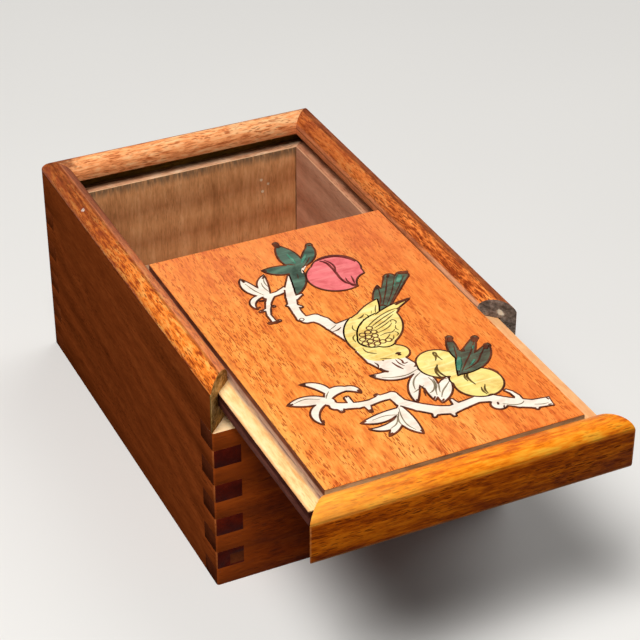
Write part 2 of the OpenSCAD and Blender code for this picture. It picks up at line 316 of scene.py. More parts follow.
class Sheet:
    """A node tree with short calls that add, set and join nodes."""

    def __init__(self, tree: Tree) -> None:
        """Keeps the tree to work on."""
        self.tree = tree

    def add(self, kind: str, inputs: Inputs | None = None, **settings: object) -> Node:
        """Adds a node.

        Args:
            kind: Node type.
            inputs: Values or sockets for its inputs, by name or place.
            settings: Properties of the node.

        Returns:
            The node.
        """
        node = self.tree.nodes.new(kind)
        for name, value in settings.items():
            setattr(node, name, value)
        for name, value in (inputs or {}).items():
            if isinstance(value, Socket):
                self.tree.links.new(value, node.inputs[name])
            else:
                node.inputs[name].default_value = value
        return node

    def group(self, tree: Tree, inputs: Inputs) -> Node:
        """Places a node group with its own values."""
        return self.add("ShaderNodeGroup", inputs, node_tree=tree)

    def join(self, value: Socket, target: Socket) -> None:
        """Links a value to an input."""
        self.tree.links.new(value, target)

    def math(self, operation: str, first: object, second: object = 0.0, clamp: bool = False) -> Socket:
        """Joins two values by an operation and returns the result."""
        inputs = {0: first, 1: second}
        return self.add("ShaderNodeMath", inputs, operation=operation, use_clamp=clamp).outputs[0]

    def plus(self, first: object, second: object, clamp: bool = False) -> Socket:
        """Returns the sum of two values."""
        return self.math("ADD", first, second, clamp)

    def minus(self, first: object, second: object) -> Socket:
        """Returns the first value less the second."""
        return self.math("SUBTRACT", first, second)

    def times(self, first: object, second: object, clamp: bool = False) -> Socket:
        """Returns the product of two values."""
        return self.math("MULTIPLY", first, second, clamp)

    def larger(self, first: object, second: object) -> Socket:
        """Returns the larger of two values."""
        return self.math("MAXIMUM", first, second)

    def centred(self, value: Socket) -> Socket:
        """Shifts a value of 0 to 1 so that its middle lies at 0, and returns it."""
        return self.minus(value, 0.5)

    def blend(self, share: object, first: object, second: object) -> Socket:
        """Mixes two colours by a share and returns the result."""
        inputs = {0: share, 6: first, 7: second}
        return self.add("ShaderNodeMix", inputs, data_type="RGBA", blend_type="MIX").outputs[2]

    def spread(
        self, value: Socket, low: object, high: object, to_low: float = 0.0, to_high: float = 1.0
    ) -> Socket:
        """Eases a value from one range into another and returns the result."""
        inputs = {"Value": value, "From Min": low, "From Max": high, "To Min": to_low, "To Max": to_high}
        return self.add("ShaderNodeMapRange", inputs, interpolation_type="SMOOTHSTEP").outputs["Result"]

    def stretch(self, vector: Socket, across: float, along: float, shift: Point = (0.0, 0.0, 0.0)) -> Socket:
        """Scales coordinates to cells per metre across and along the second axis, shifts and returns them."""
        inputs = {"Vector": vector, "Scale": (across, along, across), "Location": shift}
        return self.add("ShaderNodeMapping", inputs).outputs["Vector"]

    def noise(self, vector: Socket, detail: float = 2.0, rough: float = 0.5, warp: float = 0.0) -> Socket:
        """Adds soft noise at the coordinates' own scale and returns its value."""
        inputs = {"Vector": vector, "Scale": 1.0, "Detail": detail, "Roughness": rough, "Distortion": warp}
        return self.add("ShaderNodeTexNoise", inputs).outputs["Fac"]


@dataclass(frozen=True)
class PoreLayer:
    """One layer of dark dashes along the grain, one dash to a cell.

    Attributes:
        across: Cells per metre across the grain.
        along: Cells per metre along it.
        reach: Half size of a dash, as a share of its cell.
        rare: Share of the cells left without a dash.
        dark: Darkness of the dashes, 0 to 1.
        CORE: Full part of a dash, as a share of its reach.
        FADE: Range of chance over which dashes come in.
    """

    across: float
    along: float
    reach: float
    rare: float
    dark: float

    CORE: ClassVar[float] = 0.6
    FADE: ClassVar[float] = 0.35

    def mask(self, sheet: Sheet, vector: Socket) -> Socket:
        """Builds the dashes.

        Args:
            sheet: Sheet of the material.
            vector: Coordinates whose second part runs along the grain.

        Returns:
            Their mask, 0 to 1.
        """
        inputs = {"Vector": sheet.stretch(vector, self.across, self.along), "Scale": 1.0}
        cell = sheet.add("ShaderNodeTexVoronoi", inputs, feature="F1").outputs
        dash = sheet.spread(cell["Distance"], self.reach, self.reach * self.CORE)
        chance = sheet.add("ShaderNodeSeparateColor", {"Color": cell["Color"]}).outputs["Red"]
        chosen = sheet.spread(chance, self.rare, self.rare + self.FADE)
        return sheet.times(sheet.times(dash, chosen), self.dark)


class Effects:
    """Shared node groups, each built once.

    Attributes:
        PORE_LAYERS: Dashes of a board, from short and thick to fine, and long thin ones.
        WANDER: How far the grain sways sideways, in metres.
        GRIT_GAP: Share of a band that full grit takes away.
        RAGGED: How far a spot's outline swings, as a share of its radius.
    """

    PORE_LAYERS: ClassVar[tuple[PoreLayer, ...]] = (
        PoreLayer(across=1000, along=110, reach=0.34, rare=0.62, dark=1.0),
        PoreLayer(across=1300, along=190, reach=0.36, rare=0.1, dark=1.0),
        PoreLayer(across=1750, along=310, reach=0.36, rare=0.2, dark=0.75),
        PoreLayer(across=900, along=44, reach=0.3, rare=0.6, dark=0.7),
    )
    WANDER: ClassVar[float] = 0.006
    GRIT_GAP: ClassVar[float] = 0.6
    RAGGED: ClassVar[float] = 1.6

    @staticmethod
    def begin(name: str, vectors: Sequence[str], values: Sequence[str] = ()) -> tuple[Sheet, Sockets]:
        """Starts a node group.

        Args:
            name: Name of the group.
            vectors: Names of its vector inputs.
            values: Names of its value inputs.

        Returns:
            Its sheet, and its input sockets by name.
        """
        tree = bpy.data.node_groups.new(name, "ShaderNodeTree")
        for labels, kind in ((vectors, "NodeSocketVector"), (values, "NodeSocketFloat")):
            for label in labels:
                tree.interface.new_socket(name=label, in_out="INPUT", socket_type=kind)
        sheet = Sheet(tree)
        given = sheet.add("NodeGroupInput").outputs
        return sheet, {label: given[label] for label in (*vectors, *values)}

    @staticmethod
    def end(sheet: Sheet, results: Sockets) -> Tree:
        """Gives a node group its value outputs and returns it.

        Args:
            sheet: Sheet of the group.
            results: Values to put out, by name.

        Returns:
            The finished group.
        """
        for label in results:
            sheet.tree.interface.new_socket(name=label, in_out="OUTPUT", socket_type="NodeSocketFloat")
        out = sheet.add("NodeGroupOutput")
        for label, value in results.items():
            sheet.join(value, out.inputs[label])
        return sheet.tree

    @classmethod
    @cache
    def board_grain(cls) -> Tree:
        """Builds the grain of a board.

        Returns:
            Group with long streaks, fine fibres, dark pores and a soft mottle.
        """
        sheet, given = cls.begin("board_grain", ("Vector",), ("Pore Amount",))
        sway = sheet.noise(sheet.stretch(given["Vector"], across=22, along=7))
        sideways = sheet.times(sheet.centred(sway), cls.WANDER)
        step = sheet.add("ShaderNodeCombineXYZ", {"X": sideways}).outputs["Vector"]
        vector = sheet.add("ShaderNodeVectorMath", {0: given["Vector"], 1: step}).outputs["Vector"]
        streak = sheet.noise(sheet.stretch(vector, across=120, along=7), detail=5, rough=0.62)
        fibre = sheet.noise(sheet.stretch(vector, across=850, along=130), detail=4, rough=0.62)
        mottle = sheet.noise(sheet.stretch(vector, across=240, along=110, shift=(0, 0.3, 0)), detail=3)
        crowd = sheet.noise(sheet.stretch(vector, across=110, along=20, shift=(0.7, 0, 0)))
        clump = sheet.spread(crowd, low=0.38, high=0.62, to_low=0.25)
        dashes, *others = (layer.mask(sheet, vector) for layer in cls.PORE_LAYERS)
        for other in others:
            dashes = sheet.larger(dashes, other)
        pores = sheet.times(sheet.times(dashes, clump), given["Pore Amount"], clamp=True)
        return cls.end(sheet, {"Streak": streak, "Fibre": fibre, "Pores": pores, "Mottle": mottle})

    @classmethod
    @cache
    def grime_and_painted_light_band(cls) -> Tree:
        """Builds a band of soil, wear, painted shade or painted highlight round a centre line, broken up by
        grit.

        Returns:
            Group with the band's mask.
        """
        values = ("Place", "Centre", "Gone At", "Full Within", "Grit", "Strength")
        sheet, given = cls.begin("grime_and_painted_light_band", ("Vector",), values)
        away = sheet.math("ABSOLUTE", sheet.minus(given["Place"], given["Centre"]))
        patch = sheet.noise(sheet.stretch(given["Vector"], across=330, along=26), detail=4, rough=0.65)
        wobble = sheet.times(sheet.centred(patch), given["Grit"])
        reach = sheet.times(wobble, sheet.minus(given["Gone At"], given["Full Within"]))
        band = sheet.spread(sheet.plus(away, reach), given["Gone At"], given["Full Within"])
        grains = sheet.noise(sheet.stretch(given["Vector"], across=900, along=130), detail=3)
        grit = sheet.spread(grains, low=0.3, high=0.62)
        lack = sheet.times(sheet.minus(1.0, grit), given["Grit"])
        whole = sheet.minus(1.0, sheet.times(lack, cls.GRIT_GAP))
        mask = sheet.times(sheet.times(band, whole), given["Strength"], clamp=True)
        return cls.end(sheet, {"Mask": mask})

    @classmethod
    @cache
    def chip_spot(cls) -> Tree:
        """Builds a ragged spot round a place, for chips and blots.

        Returns:
            Group with the spot's mask.
        """
        sheet, given = cls.begin("chip_spot", ("Vector", "Place"), ("Radius", "Soft", "Strength"))
        ends = {0: given["Vector"], 1: given["Place"]}
        away = sheet.add("ShaderNodeVectorMath", ends, operation="DISTANCE").outputs["Value"]
        ragged = sheet.noise(sheet.stretch(given["Vector"], across=420, along=420), detail=3)
        swing = sheet.times(sheet.centred(ragged), given["Radius"])
        reach = sheet.plus(away, sheet.times(swing, cls.RAGGED))
        core = sheet.times(given["Radius"], sheet.minus(1.0, given["Soft"]))
        mask = sheet.times(sheet.spread(reach, given["Radius"], core), given["Strength"], clamp=True)
        return cls.end(sheet, {"Mask": mask})

    @classmethod
    @cache
    def stone_cloud(cls) -> Tree:
        """Builds the surface of a polished inlay.

        Returns:
            Group with clouds, drifting bands and fine scratches.
        """
        sheet, given = cls.begin("stone_cloud", ("Vector",))
        place = given["Vector"]
        cloud = sheet.noise(sheet.stretch(place, across=150, along=150), detail=4, rough=0.6, warp=0.6)
        bands = sheet.noise(sheet.stretch(place, across=40, along=330), detail=3, rough=0.55, warp=0.8)
        scratches = sheet.noise(sheet.stretch(place, across=260, along=2600), detail=2)
        return cls.end(sheet, {"Cloud": cloud, "Bands": bands, "Scratches": scratches})


@dataclass(frozen=True)
class StainAndPaintedLight:
    """Soil, wear, a darker coat, painted shade or a painted highlight in a band measured along one axis.

    Where soiled is the larger of the two distances, the band lies outside them instead of round the line.

    Attributes:
        axis: Axis that the band is measured along.
        centre: Centre line of the band, in millimetres.
        full_within: Distance from it within which the band is full.
        gone_at: Distance from it at which the band has ended.
        colour: Colour of the band.
        strength: Share of that colour at full.
        grit: How far the band is broken up, 0 to 1.
        fade: Axis along which the band comes in, and the places where it starts and is full.
    """

    axis: Axis
    centre: float
    full_within: float
    gone_at: float
    colour: Colour
    strength: float = 0.8
    grit: float = 0.5
    fade: tuple[Axis, float, float] | None = None

    def mask(self, sheet: Sheet, place: Socket, run: Socket) -> Socket:
        """Builds the band's mask.

        Args:
            sheet: Sheet of the material.
            place: Object coordinates.
            run: Coordinates along the grain, which break the band up.

        Returns:
            The mask, 0 to 1.
        """
        parts = sheet.add("ShaderNodeSeparateXYZ", {"Vector": place}).outputs
        values = {
            "Vector": run,
            "Place": parts[self.axis.value],
            "Centre": self.centre * MM,
            "Gone At": self.gone_at * MM,
            "Full Within": self.full_within * MM,
            "Grit": self.grit,
            "Strength": self.strength,
        }
        mask = sheet.group(Effects.grime_and_painted_light_band(), values).outputs["Mask"]
        if self.fade is None:
            return mask
        axis, start, full = self.fade
        return sheet.times(mask, sheet.spread(parts[axis.value], start * MM, full * MM))


@dataclass(frozen=True)
class Blot:
    """A chip or a blot round one place.

    Attributes:
        place: Its middle, in millimetres.
        radius: Its reach, in millimetres.
        colour: Its colour.
        strength: Share of that colour at full.
        soft: Share of the radius over which it fades.
    """

    place: Point
    radius: float
    colour: Colour
    strength: float = 0.9
    soft: float = 0.4

    def mask(self, sheet: Sheet, place: Socket, _run: Socket) -> Socket:
        """Builds the blot's mask.

        Args:
            sheet: Sheet of the material.
            place: Object coordinates.
            _run: Coordinates along the grain, which a blot has no use for.

        Returns:
            The mask, 0 to 1.
        """
        values = {
            "Vector": place,
            "Place": [part * MM for part in self.place],
            "Radius": self.radius * MM,
            "Soft": self.soft,
            "Strength": self.strength,
        }
        return sheet.group(Effects.chip_spot(), values).outputs["Mask"]


@dataclass(frozen=True)
class Finish:
    """What every finish has: a name and a gloss.

    Attributes:
        name: Name of the material.
        roughness: Roughness of a plain stretch.
        gloss: Strength of its reflections, where 0.5 is that of fresh varnish.
        POLISH: Roughness that polish takes away between scratches.
        WEAR: Roughness that a scratch adds.
    """

    name: str
    roughness: float
    gloss: float

    POLISH: ClassVar[float] = 0.1
    WEAR: ClassVar[float] = 0.1

    def material(self) -> bpy.types.Material:
        """Builds the finish's material on first use.

        Returns:
            The material.
        """
        made = bpy.data.materials.get(self.name)
        if made:
            return made
        made = bpy.data.materials.new(self.name)
        made.use_nodes = True
        shader = made.node_tree.nodes["Principled BSDF"]
        shader.inputs["Specular IOR Level"].default_value = self.gloss
        self.fill(Sheet(made.node_tree), shader)
        return made

    def fill(self, sheet: Sheet, shader: Node) -> None:
        """Builds the nodes that feed the shader; each kind of finish has its own."""
        raise NotImplementedError

    def bump(self, sheet: Sheet, shader: Node, height: Socket, depth: float) -> None:
        """Feeds the shader's normal from a height of the given depth in millimetres."""
        bump = sheet.add("ShaderNodeBump", {"Height": height, "Strength": 1.0, "Distance": depth * MM})
        sheet.join(bump.outputs["Normal"], shader.inputs["Normal"])

    def scratch(self, sheet: Sheet, shader: Node, scratches: Socket) -> None:
        """Feeds the shader's roughness, lower between the scratches and higher on them.

        Args:
            sheet: Sheet of the material.
            shader: Its shader.
            scratches: Mask of the scratches.
        """
        smooth, worn = self.roughness - self.POLISH, self.roughness + self.WEAR
        rough = sheet.spread(scratches, low=0.3, high=0.7, to_low=smooth, to_high=worn)
        sheet.join(rough, shader.inputs["Roughness"])


@dataclass(frozen=True)
class Wood(Finish):
    """A wood face, from raw to varnished.

    Attributes:
        grain: Run of the fibres.
        dark: Colour of the dark streaks.
        mid: Main colour.
        light: Colour of the light streaks.
        pore: Colour of the pores.
        pores: Amount of pores; above 1 they grow into flecks.
        contrast: Strength of the streaks, 0 to 1.
        fibre: Strength of the fine fibres, 0 to 1.
        depth: Depth of the surface relief, in millimetres.
        log_place: Where in the log the board was cut, in metres.
        marks: Stains, painted light and shade, and blots, in the order in which they are laid on.
        STREAK_GAIN: Reach of the streaks and the mottle at full contrast.
        MOTTLE_SHARE: Part of the mottle in that.
        FIBRE_GAIN: Reach of the fibres at full strength.
        PORE_COVER: Share of the pore colour in a pore.
        PORE_DULL: Roughness that a pore adds.
        MARK_DULL: Roughness that a mark adds.
        UNEVEN: Roughness that the mottle adds or takes away.
        PORE_SUNK: Height of a pore, as a share of the relief.
        FIBRE_RISE: Height of a fibre, as a share of the relief.
    """

    grain: Grain
    dark: Colour
    mid: Colour
    light: Colour
    pore: Colour
    pores: float = 0.8
    contrast: float = 0.6
    fibre: float = 0.3
    depth: float = 0.12
    log_place: Point = (0.0, 0.0, 0.0)
    marks: tuple[StainAndPaintedLight | Blot, ...] = ()

    STREAK_GAIN: ClassVar[float] = 3.2
    MOTTLE_SHARE: ClassVar[float] = 0.55
    FIBRE_GAIN: ClassVar[float] = 2.0
    PORE_COVER: ClassVar[float] = 0.85
    PORE_DULL: ClassVar[float] = 0.25
    MARK_DULL: ClassVar[float] = 0.2
    UNEVEN: ClassVar[float] = 0.22
    PORE_SUNK: ClassVar[float] = -0.6
    FIBRE_RISE: ClassVar[float] = 0.35

    def along(self, sheet: Sheet, place: Socket) -> Socket:
        """Turns object coordinates so that the second one runs along the grain.

        Args:
            sheet: Sheet of the material.
            place: Object coordinates.

        Returns:
            The turned coordinates, shifted to the board's place in the log.
        """
        parts = sheet.add("ShaderNodeSeparateXYZ", {"Vector": place}).outputs
        across, run, through = (parts[axis.value] for axis in self.grain.value)
        turned = sheet.add("ShaderNodeCombineXYZ", {"X": across, "Y": run, "Z": through})
        ends = {0: turned.outputs["Vector"], 1: self.log_place}
        return sheet.add("ShaderNodeVectorMath", ends).outputs["Vector"]

    def fill(self, sheet: Sheet, shader: Node) -> None:
        """Builds grain, pores, marks, gloss and relief.

        Args:
            sheet: Sheet of the material.
            shader: Its shader.
        """
        place = sheet.add("ShaderNodeTexCoord").outputs["Object"]
        run = self.along(sheet, place)
        grain = sheet.group(Effects.board_grain(), {"Vector": run, "Pore Amount": self.pores}).outputs
        streak = sheet.centred(grain["Streak"])
        fibre = sheet.centred(grain["Fibre"])
        mottle = sheet.centred(grain["Mottle"])
        broad = sheet.plus(streak, sheet.times(mottle, self.MOTTLE_SHARE))
        wide = sheet.times(broad, self.STREAK_GAIN * self.contrast)
        fine = sheet.times(fibre, self.FIBRE_GAIN * self.fibre)
        ramp = sheet.add("ShaderNodeValToRGB", {"Fac": sheet.plus(sheet.plus(wide, fine), 0.5, clamp=True)})
        stops = ramp.color_ramp.elements
        stops[0].color = self.dark
        stops[1].color = self.light
        stops.new(0.5).color = self.mid
        colour = sheet.blend(sheet.times(grain["Pores"], self.PORE_COVER), ramp.outputs["Color"], self.pore)
        dull = sheet.times(grain["Pores"], self.PORE_DULL)
        for mark in self.marks:
            mask = mark.mask(sheet, place, run)
            colour = sheet.blend(mask, colour, mark.colour)
            dull = sheet.plus(dull, sheet.times(mask, self.MARK_DULL))
        sheet.join(colour, shader.inputs["Base Color"])
        uneven = sheet.times(mottle, self.UNEVEN)
        rough = sheet.plus(sheet.plus(dull, uneven), self.roughness, clamp=True)
        sheet.join(rough, shader.inputs["Roughness"])
        sunk = sheet.times(grain["Pores"], self.PORE_SUNK)
        height = sheet.plus(sheet.plus(sunk, sheet.times(fibre, self.FIBRE_RISE)), mottle)
        self.bump(sheet, shader, height, self.depth)


@dataclass(frozen=True)
class Stone(Finish):
    """A polished inlay.

    Attributes:
        dark: Colour of the darker clouds.
        mid: Main colour.
        light: Colour of the paler bands.
        bands: Strength of the drifting bands, 0 to 1.
        RELIEF: Depth of the surface relief, in millimetres.
        SCRATCH_RISE: Height of a scratch, as a share of that.
    """

    dark: Colour
    mid: Colour
    light: Colour
    bands: float

    POLISH: ClassVar[float] = 0.08
    RELIEF: ClassVar[float] = 0.08
    SCRATCH_RISE: ClassVar[float] = 0.2

    def fill(self, sheet: Sheet, shader: Node) -> None:
        """Builds clouds, bands, gloss and fine scratches.

        Args:
            sheet: Sheet of the material.
            shader: Its shader.
        """
        place = sheet.add("ShaderNodeTexCoord").outputs["Object"]
        cloud = sheet.group(Effects.stone_cloud(), {"Vector": place}).outputs
        shaded = sheet.blend(sheet.spread(cloud["Cloud"], low=0.32, high=0.6), self.dark, self.mid)
        pale = sheet.times(sheet.spread(cloud["Bands"], low=0.45, high=0.72), self.bands)
        sheet.join(sheet.blend(pale, shaded, self.light), shader.inputs["Base Color"])
        self.scratch(sheet, shader, cloud["Scratches"])
        height = sheet.plus(cloud["Cloud"], sheet.times(cloud["Scratches"], self.SCRATCH_RISE))
        self.bump(sheet, shader, height, self.RELIEF)


@dataclass(frozen=True)
class Lac(Finish):
    """Dark lac in the drawn lines.

    Attributes:
        deep: Colour where it lies thick.
        thin: Colour where it lies thin.
        RELIEF: Depth of the surface relief, in millimetres.
    """

    deep: Colour
    thin: Colour

    RELIEF: ClassVar[float] = 0.05

    def fill(self, sheet: Sheet, shader: Node) -> None:
        """Builds the uneven lac.

        Args:
            sheet: Sheet of the material.
            shader: Its shader.
        """
        place = sheet.add("ShaderNodeTexCoord").outputs["Object"]
        cloud = sheet.group(Effects.stone_cloud(), {"Vector": place}).outputs
        share = sheet.spread(cloud["Cloud"], low=0.35, high=0.65)
        sheet.join(sheet.blend(share, self.deep, self.thin), shader.inputs["Base Color"])
        self.scratch(sheet, shader, cloud["Scratches"])
        self.bump(sheet, shader, cloud["Cloud"], self.RELIEF)


RED_BROWN = tone(104, 44, 22)
GOLD = tone(226, 190, 80)
PALE_SPECK = tone(244, 226, 190)
CORNER_SOIL = tone(70, 44, 26)
RIM_ARRIS = StainAndPaintedLight(Axis.Z, 93.7, 0.1, 0.5, tone(70, 24, 8), 0.6, 0.2)

# Lid
FIELD = Wood(
    "field_varnish", roughness=0.42, gloss=0.08, grain=Grain.ALONG_Y, pores=1.6, contrast=0.6, fibre=0.8,
    dark=tone(202, 92, 30), mid=tone(244, 142, 58), light=tone(252, 170, 82), pore=tone(170, 70, 22),
    marks=(
        StainAndPaintedLight(Axis.X, 90.0, 20.0, 110.0, tone(226, 108, 44), 0.5, 0.3),
        StainAndPaintedLight(Axis.X, -54.4, 0.4, 4.0, tone(255, 184, 92), 0.45, 0.7),
        StainAndPaintedLight(Axis.Y, 42.7, 4.0, 80.0, tone(230, 122, 78), 0.4, 0.5),
    ),
)
FIELD_EDGE = Wood(
    "field_edge", roughness=0.5, gloss=0.05, grain=Grain.ALONG_Y,
    dark=tone(76, 38, 24), mid=tone(116, 62, 42), light=tone(150, 92, 68), pore=tone(58, 28, 16),
    marks=(StainAndPaintedLight(Axis.Z, 90.3, 1.3, 2.7, tone(206, 166, 142), 0.8, 0.7),),
)
FIELD_FRONT = Wood(
    "field_front", roughness=0.6, gloss=0.02, grain=Grain.ALONG_X, pores=0.6,
    dark=tone(136, 104, 66), mid=tone(194, 158, 112), light=tone(226, 194, 148), pore=tone(98, 68, 38),
    marks=(StainAndPaintedLight(Axis.Z, 95.8, 0.6, 1.1, tone(58, 26, 12), 0.85, 0.3),),
)
TONGUE = Wood(
    "raw_tongue", roughness=0.62, gloss=0.02, grain=Grain.ALONG_Y, pores=0.4, contrast=0.7, fibre=0.8,
    dark=tone(230, 168, 102), mid=tone(252, 210, 144), light=tone(255, 226, 170), pore=tone(204, 136, 78),
    marks=(
        # Painted shade: the right tongue, beside the field, is darker and redder than the left one.
        StainAndPaintedLight(Axis.X, 62.0, 8.5, 9.5, tone(238, 160, 108), 0.7, 0.5),
        StainAndPaintedLight(Axis.X, -62.2, 0.3, 1.5, tone(206, 134, 80), 0.7, 0.9),
        StainAndPaintedLight(Axis.X, 0.0, 54.9, 56.4, tone(168, 134, 118), 0.85, 0.8),
        StainAndPaintedLight(Axis.X, 0.0, 54.5, 55.2, tone(96, 72, 62), 0.7, 0.8),
    ),
)
TONGUE_BACK = Wood(
    "raw_tongue_back", roughness=0.62, gloss=0.02, grain=Grain.ALONG_X, pores=0.4,
    dark=tone(150, 104, 70), mid=tone(186, 136, 94), light=tone(206, 156, 112), pore=tone(110, 74, 46),
    # Painted shadow: the back tongue darkens along the foot of the field's back edge.
    marks=(StainAndPaintedLight(Axis.Y, 42.7, 1.2, 4.4, tone(70, 50, 40), 0.85, 0.8),),
)
# Dark colour of the narrow channel between the field and the rail.
CHANNEL = Wood(
    "dark_channel", roughness=0.6, gloss=0.02, grain=Grain.ALONG_X,
    dark=tone(56, 42, 30), mid=tone(84, 66, 48), light=tone(116, 94, 70), pore=tone(36, 24, 16),
)
TONGUE_EDGE = Wood(
    "tongue_side_painted_shade", roughness=0.6, gloss=0.02, grain=Grain.ALONG_Y,
    dark=tone(70, 34, 28), mid=tone(104, 58, 48), light=tone(132, 80, 68), pore=tone(44, 18, 14),
    # Painted shade: the upper part of the tongue's sides is dark, the lower part keeps the mauve-brown.
    marks=(StainAndPaintedLight(Axis.Z, 90.3, 2.0, 3.6, tone(44, 14, 8), 0.85, 0.5),),
)
RAIL = Wood(
    "rail_varnish_painted_light_and_shade", roughness=0.32, gloss=0.06, grain=Grain.ALONG_X,
    pores=0.7, contrast=0.65, fibre=1.0, log_place=(0.4, 0.1, 0.0),
    dark=tone(202, 84, 10), mid=tone(252, 142, 24), light=tone(255, 180, 54), pore=tone(150, 62, 8),
    marks=(
        # Painted highlight: the rail turns paler and yellower towards its left end.
        StainAndPaintedLight(Axis.X, -67.5, 6.0, 70.0, tone(255, 186, 84), 0.45, 0.6),
        # Painted shade: a redder, darker strip along the rail's inner slope.
        StainAndPaintedLight(Axis.Y, -132.0, 0.5, 2.2, tone(226, 112, 40), 0.8, 0.6),
        StainAndPaintedLight(Axis.Z, 94.3, 0.15, 0.6, tone(130, 58, 10), 0.5, 0.8),
        StainAndPaintedLight(Axis.Z, 76.9, 0.9, 1.7, tone(220, 166, 122), 0.7, 0.5),
    ),
)
# Painted shade: the rail's front face is the rail's varnish made darker, standing in for its shade.
RAIL_FRONT = Wood(
    "rail_front_painted_shade", roughness=0.4, gloss=0.03, grain=Grain.ALONG_X,
    pores=1.2, contrast=0.65, fibre=1.2, log_place=(0.4, 0.6, 0.0),
    dark=tone(136, 54, 5), mid=tone(190, 90, 9), light=tone(226, 122, 20), pore=tone(98, 36, 5),
    marks=(
        StainAndPaintedLight(Axis.Z, 76.8, 0.5, 1.4, tone(226, 168, 108), 0.65, 0.9),
        StainAndPaintedLight(Axis.Z, 93.6, 0.1, 0.6, tone(240, 140, 46), 0.55, 1.0),
        StainAndPaintedLight(Axis.X, 0.0, 66.8, 66.2, tone(226, 148, 84), 0.55, 1.0),
    ),
)
RAIL_END = Wood(
    "rail_end_grain", roughness=0.5, gloss=0.05, grain=Grain.ALONG_X, contrast=0.8,
    dark=tone(150, 92, 36), mid=tone(188, 122, 52), light=tone(212, 148, 72), pore=tone(104, 58, 20),
)

# Walls and floor
SIDE_OUT = Wood(
    "side_varnish", roughness=0.5, gloss=0.0, grain=Grain.ALONG_Y,
    pores=0.7, contrast=0.3, fibre=0.6, log_place=(0.1, 0.6, 0.2),
    dark=tone(116, 52, 20), mid=tone(142, 67, 27), light=tone(162, 82, 36), pore=tone(86, 36, 13),
    marks=(
        StainAndPaintedLight(Axis.Z, 93.8, 0.15, 0.6, tone(60, 20, 8), 0.7, 0.2),
        StainAndPaintedLight(Axis.Y, -56.0, 0.3, 1.3, tone(196, 112, 58), 0.6, 0.9),
    ),
)
RIM_LEFT = Wood(
    "rim_varnish_left_painted_shade", roughness=0.34, gloss=0.04, grain=Grain.ALONG_Y,
    pores=2.2, contrast=0.7, fibre=1.5, log_place=(0.7, 0.2, 0.1),
    dark=tone(152, 58, 16), mid=tone(248, 132, 44), light=tone(255, 172, 84), pore=tone(140, 52, 14),
    marks=(
        StainAndPaintedLight(Axis.Y, 150.0, 20.0, 190.0, tone(152, 72, 36), 0.8, 0.4),
        # Painted shade: the inner half of the left rim is duller and pinker, and darker towards the back.
        StainAndPaintedLight(Axis.X, 0.0, 60.6, 61.4, tone(212, 134, 98), 0.55, 0.5),
        StainAndPaintedLight(Axis.X, -57.6, 2.2, 3.6, tone(112, 60, 46), 0.75, 0.5, fade=(Axis.Y, 20.0, 110.0)),
        StainAndPaintedLight(Axis.X, -64.0, 0.4, 2.4, tone(84, 36, 16), 0.7, 1.0, fade=(Axis.Y, 40.0, 120.0)),
        # Painted shade: a dark line along the crest, where the lit outer half meets the shaded inner half.
        StainAndPaintedLight(Axis.X, -61.4, 0.2, 1.0, RED_BROWN, 0.65, 0.7),
        StainAndPaintedLight(Axis.X, -55.5, 0.3, 0.9, tone(220, 156, 108), 0.6, 0.6),
        RIM_ARRIS,
        Blot((-60.0, 144.0, 98.0), 10.0, RED_BROWN, 0.8, 0.8),
        Blot((-64.6, 94.0, 97.4), 1.3, tone(240, 226, 214), 0.95, 0.3),
    ),
)
RIM_RIGHT = Wood(
    "rim_varnish_right_painted_light_and_shade", roughness=0.34, gloss=0.04, grain=Grain.ALONG_Y,
    pores=2.2, contrast=0.6, fibre=1.2, log_place=(0.2, 0.7, 0.4),
    dark=tone(150, 62, 22), mid=tone(249, 138, 60), light=tone(255, 170, 92), pore=tone(116, 44, 14),
    marks=(
        StainAndPaintedLight(Axis.Y, 150.0, 40.0, 200.0, tone(146, 66, 32), 0.6, 0.3),
        # Painted shade: the outer half of the right rim, which faces away from the light, is darker.
        StainAndPaintedLight(Axis.X, 67.6, 5.0, 6.2, tone(122, 58, 32), 0.85, 0.5),
        # Painted shade: a dark line along the crest.
        StainAndPaintedLight(Axis.X, 61.8, 0.2, 0.9, tone(84, 36, 18), 0.6, 0.7),
        StainAndPaintedLight(Axis.X, 55.5, 0.3, 0.9, tone(230, 150, 104), 0.5, 0.7),
        # Painted highlight: a pale pink streak along the rim's inner edge, towards the front.
        StainAndPaintedLight(Axis.X, 55.5, 0.35, 0.9, tone(255, 188, 140), 0.9, 0.4, fade=(Axis.Y, 12.0, -14.0)),
        RIM_ARRIS,
        Blot((67.5, 144.0, 96.0), 13.0, RED_BROWN, 0.8, 0.8),
    ),
)
RIM_BACK = Wood(
    "rim_varnish_back_painted_shade", roughness=0.34, gloss=0.04, grain=Grain.ALONG_X,
    pores=1.4, contrast=0.6, fibre=1.3, log_place=(0.2, 0.9, 0.3),
    dark=tone(188, 98, 50), mid=tone(251, 162, 100), light=tone(255, 198, 140), pore=tone(176, 86, 40),
    marks=(
        # Painted shade: the outer half of the back rim, which turns away from the light, is darker.
        StainAndPaintedLight(Axis.Y, 144.0, 4.2, 5.6, tone(116, 56, 30), 0.75, 0.9),
        Blot((-59.0, 139.0, 98.0), 10.0, RED_BROWN, 0.8, 0.8),
        Blot((67.5, 144.0, 96.0), 12.0, RED_BROWN, 0.8, 0.8),
    ),
)
SIDE_IN = Wood(
    "side_inside", roughness=0.58, gloss=0.02, grain=Grain.ALONG_Y,
    pores=0.4, contrast=0.5, log_place=(0.3, 0.4, 0.8),
    dark=tone(162, 110, 84), mid=tone(190, 136, 106), light=tone(206, 152, 122), pore=tone(130, 84, 60),
)
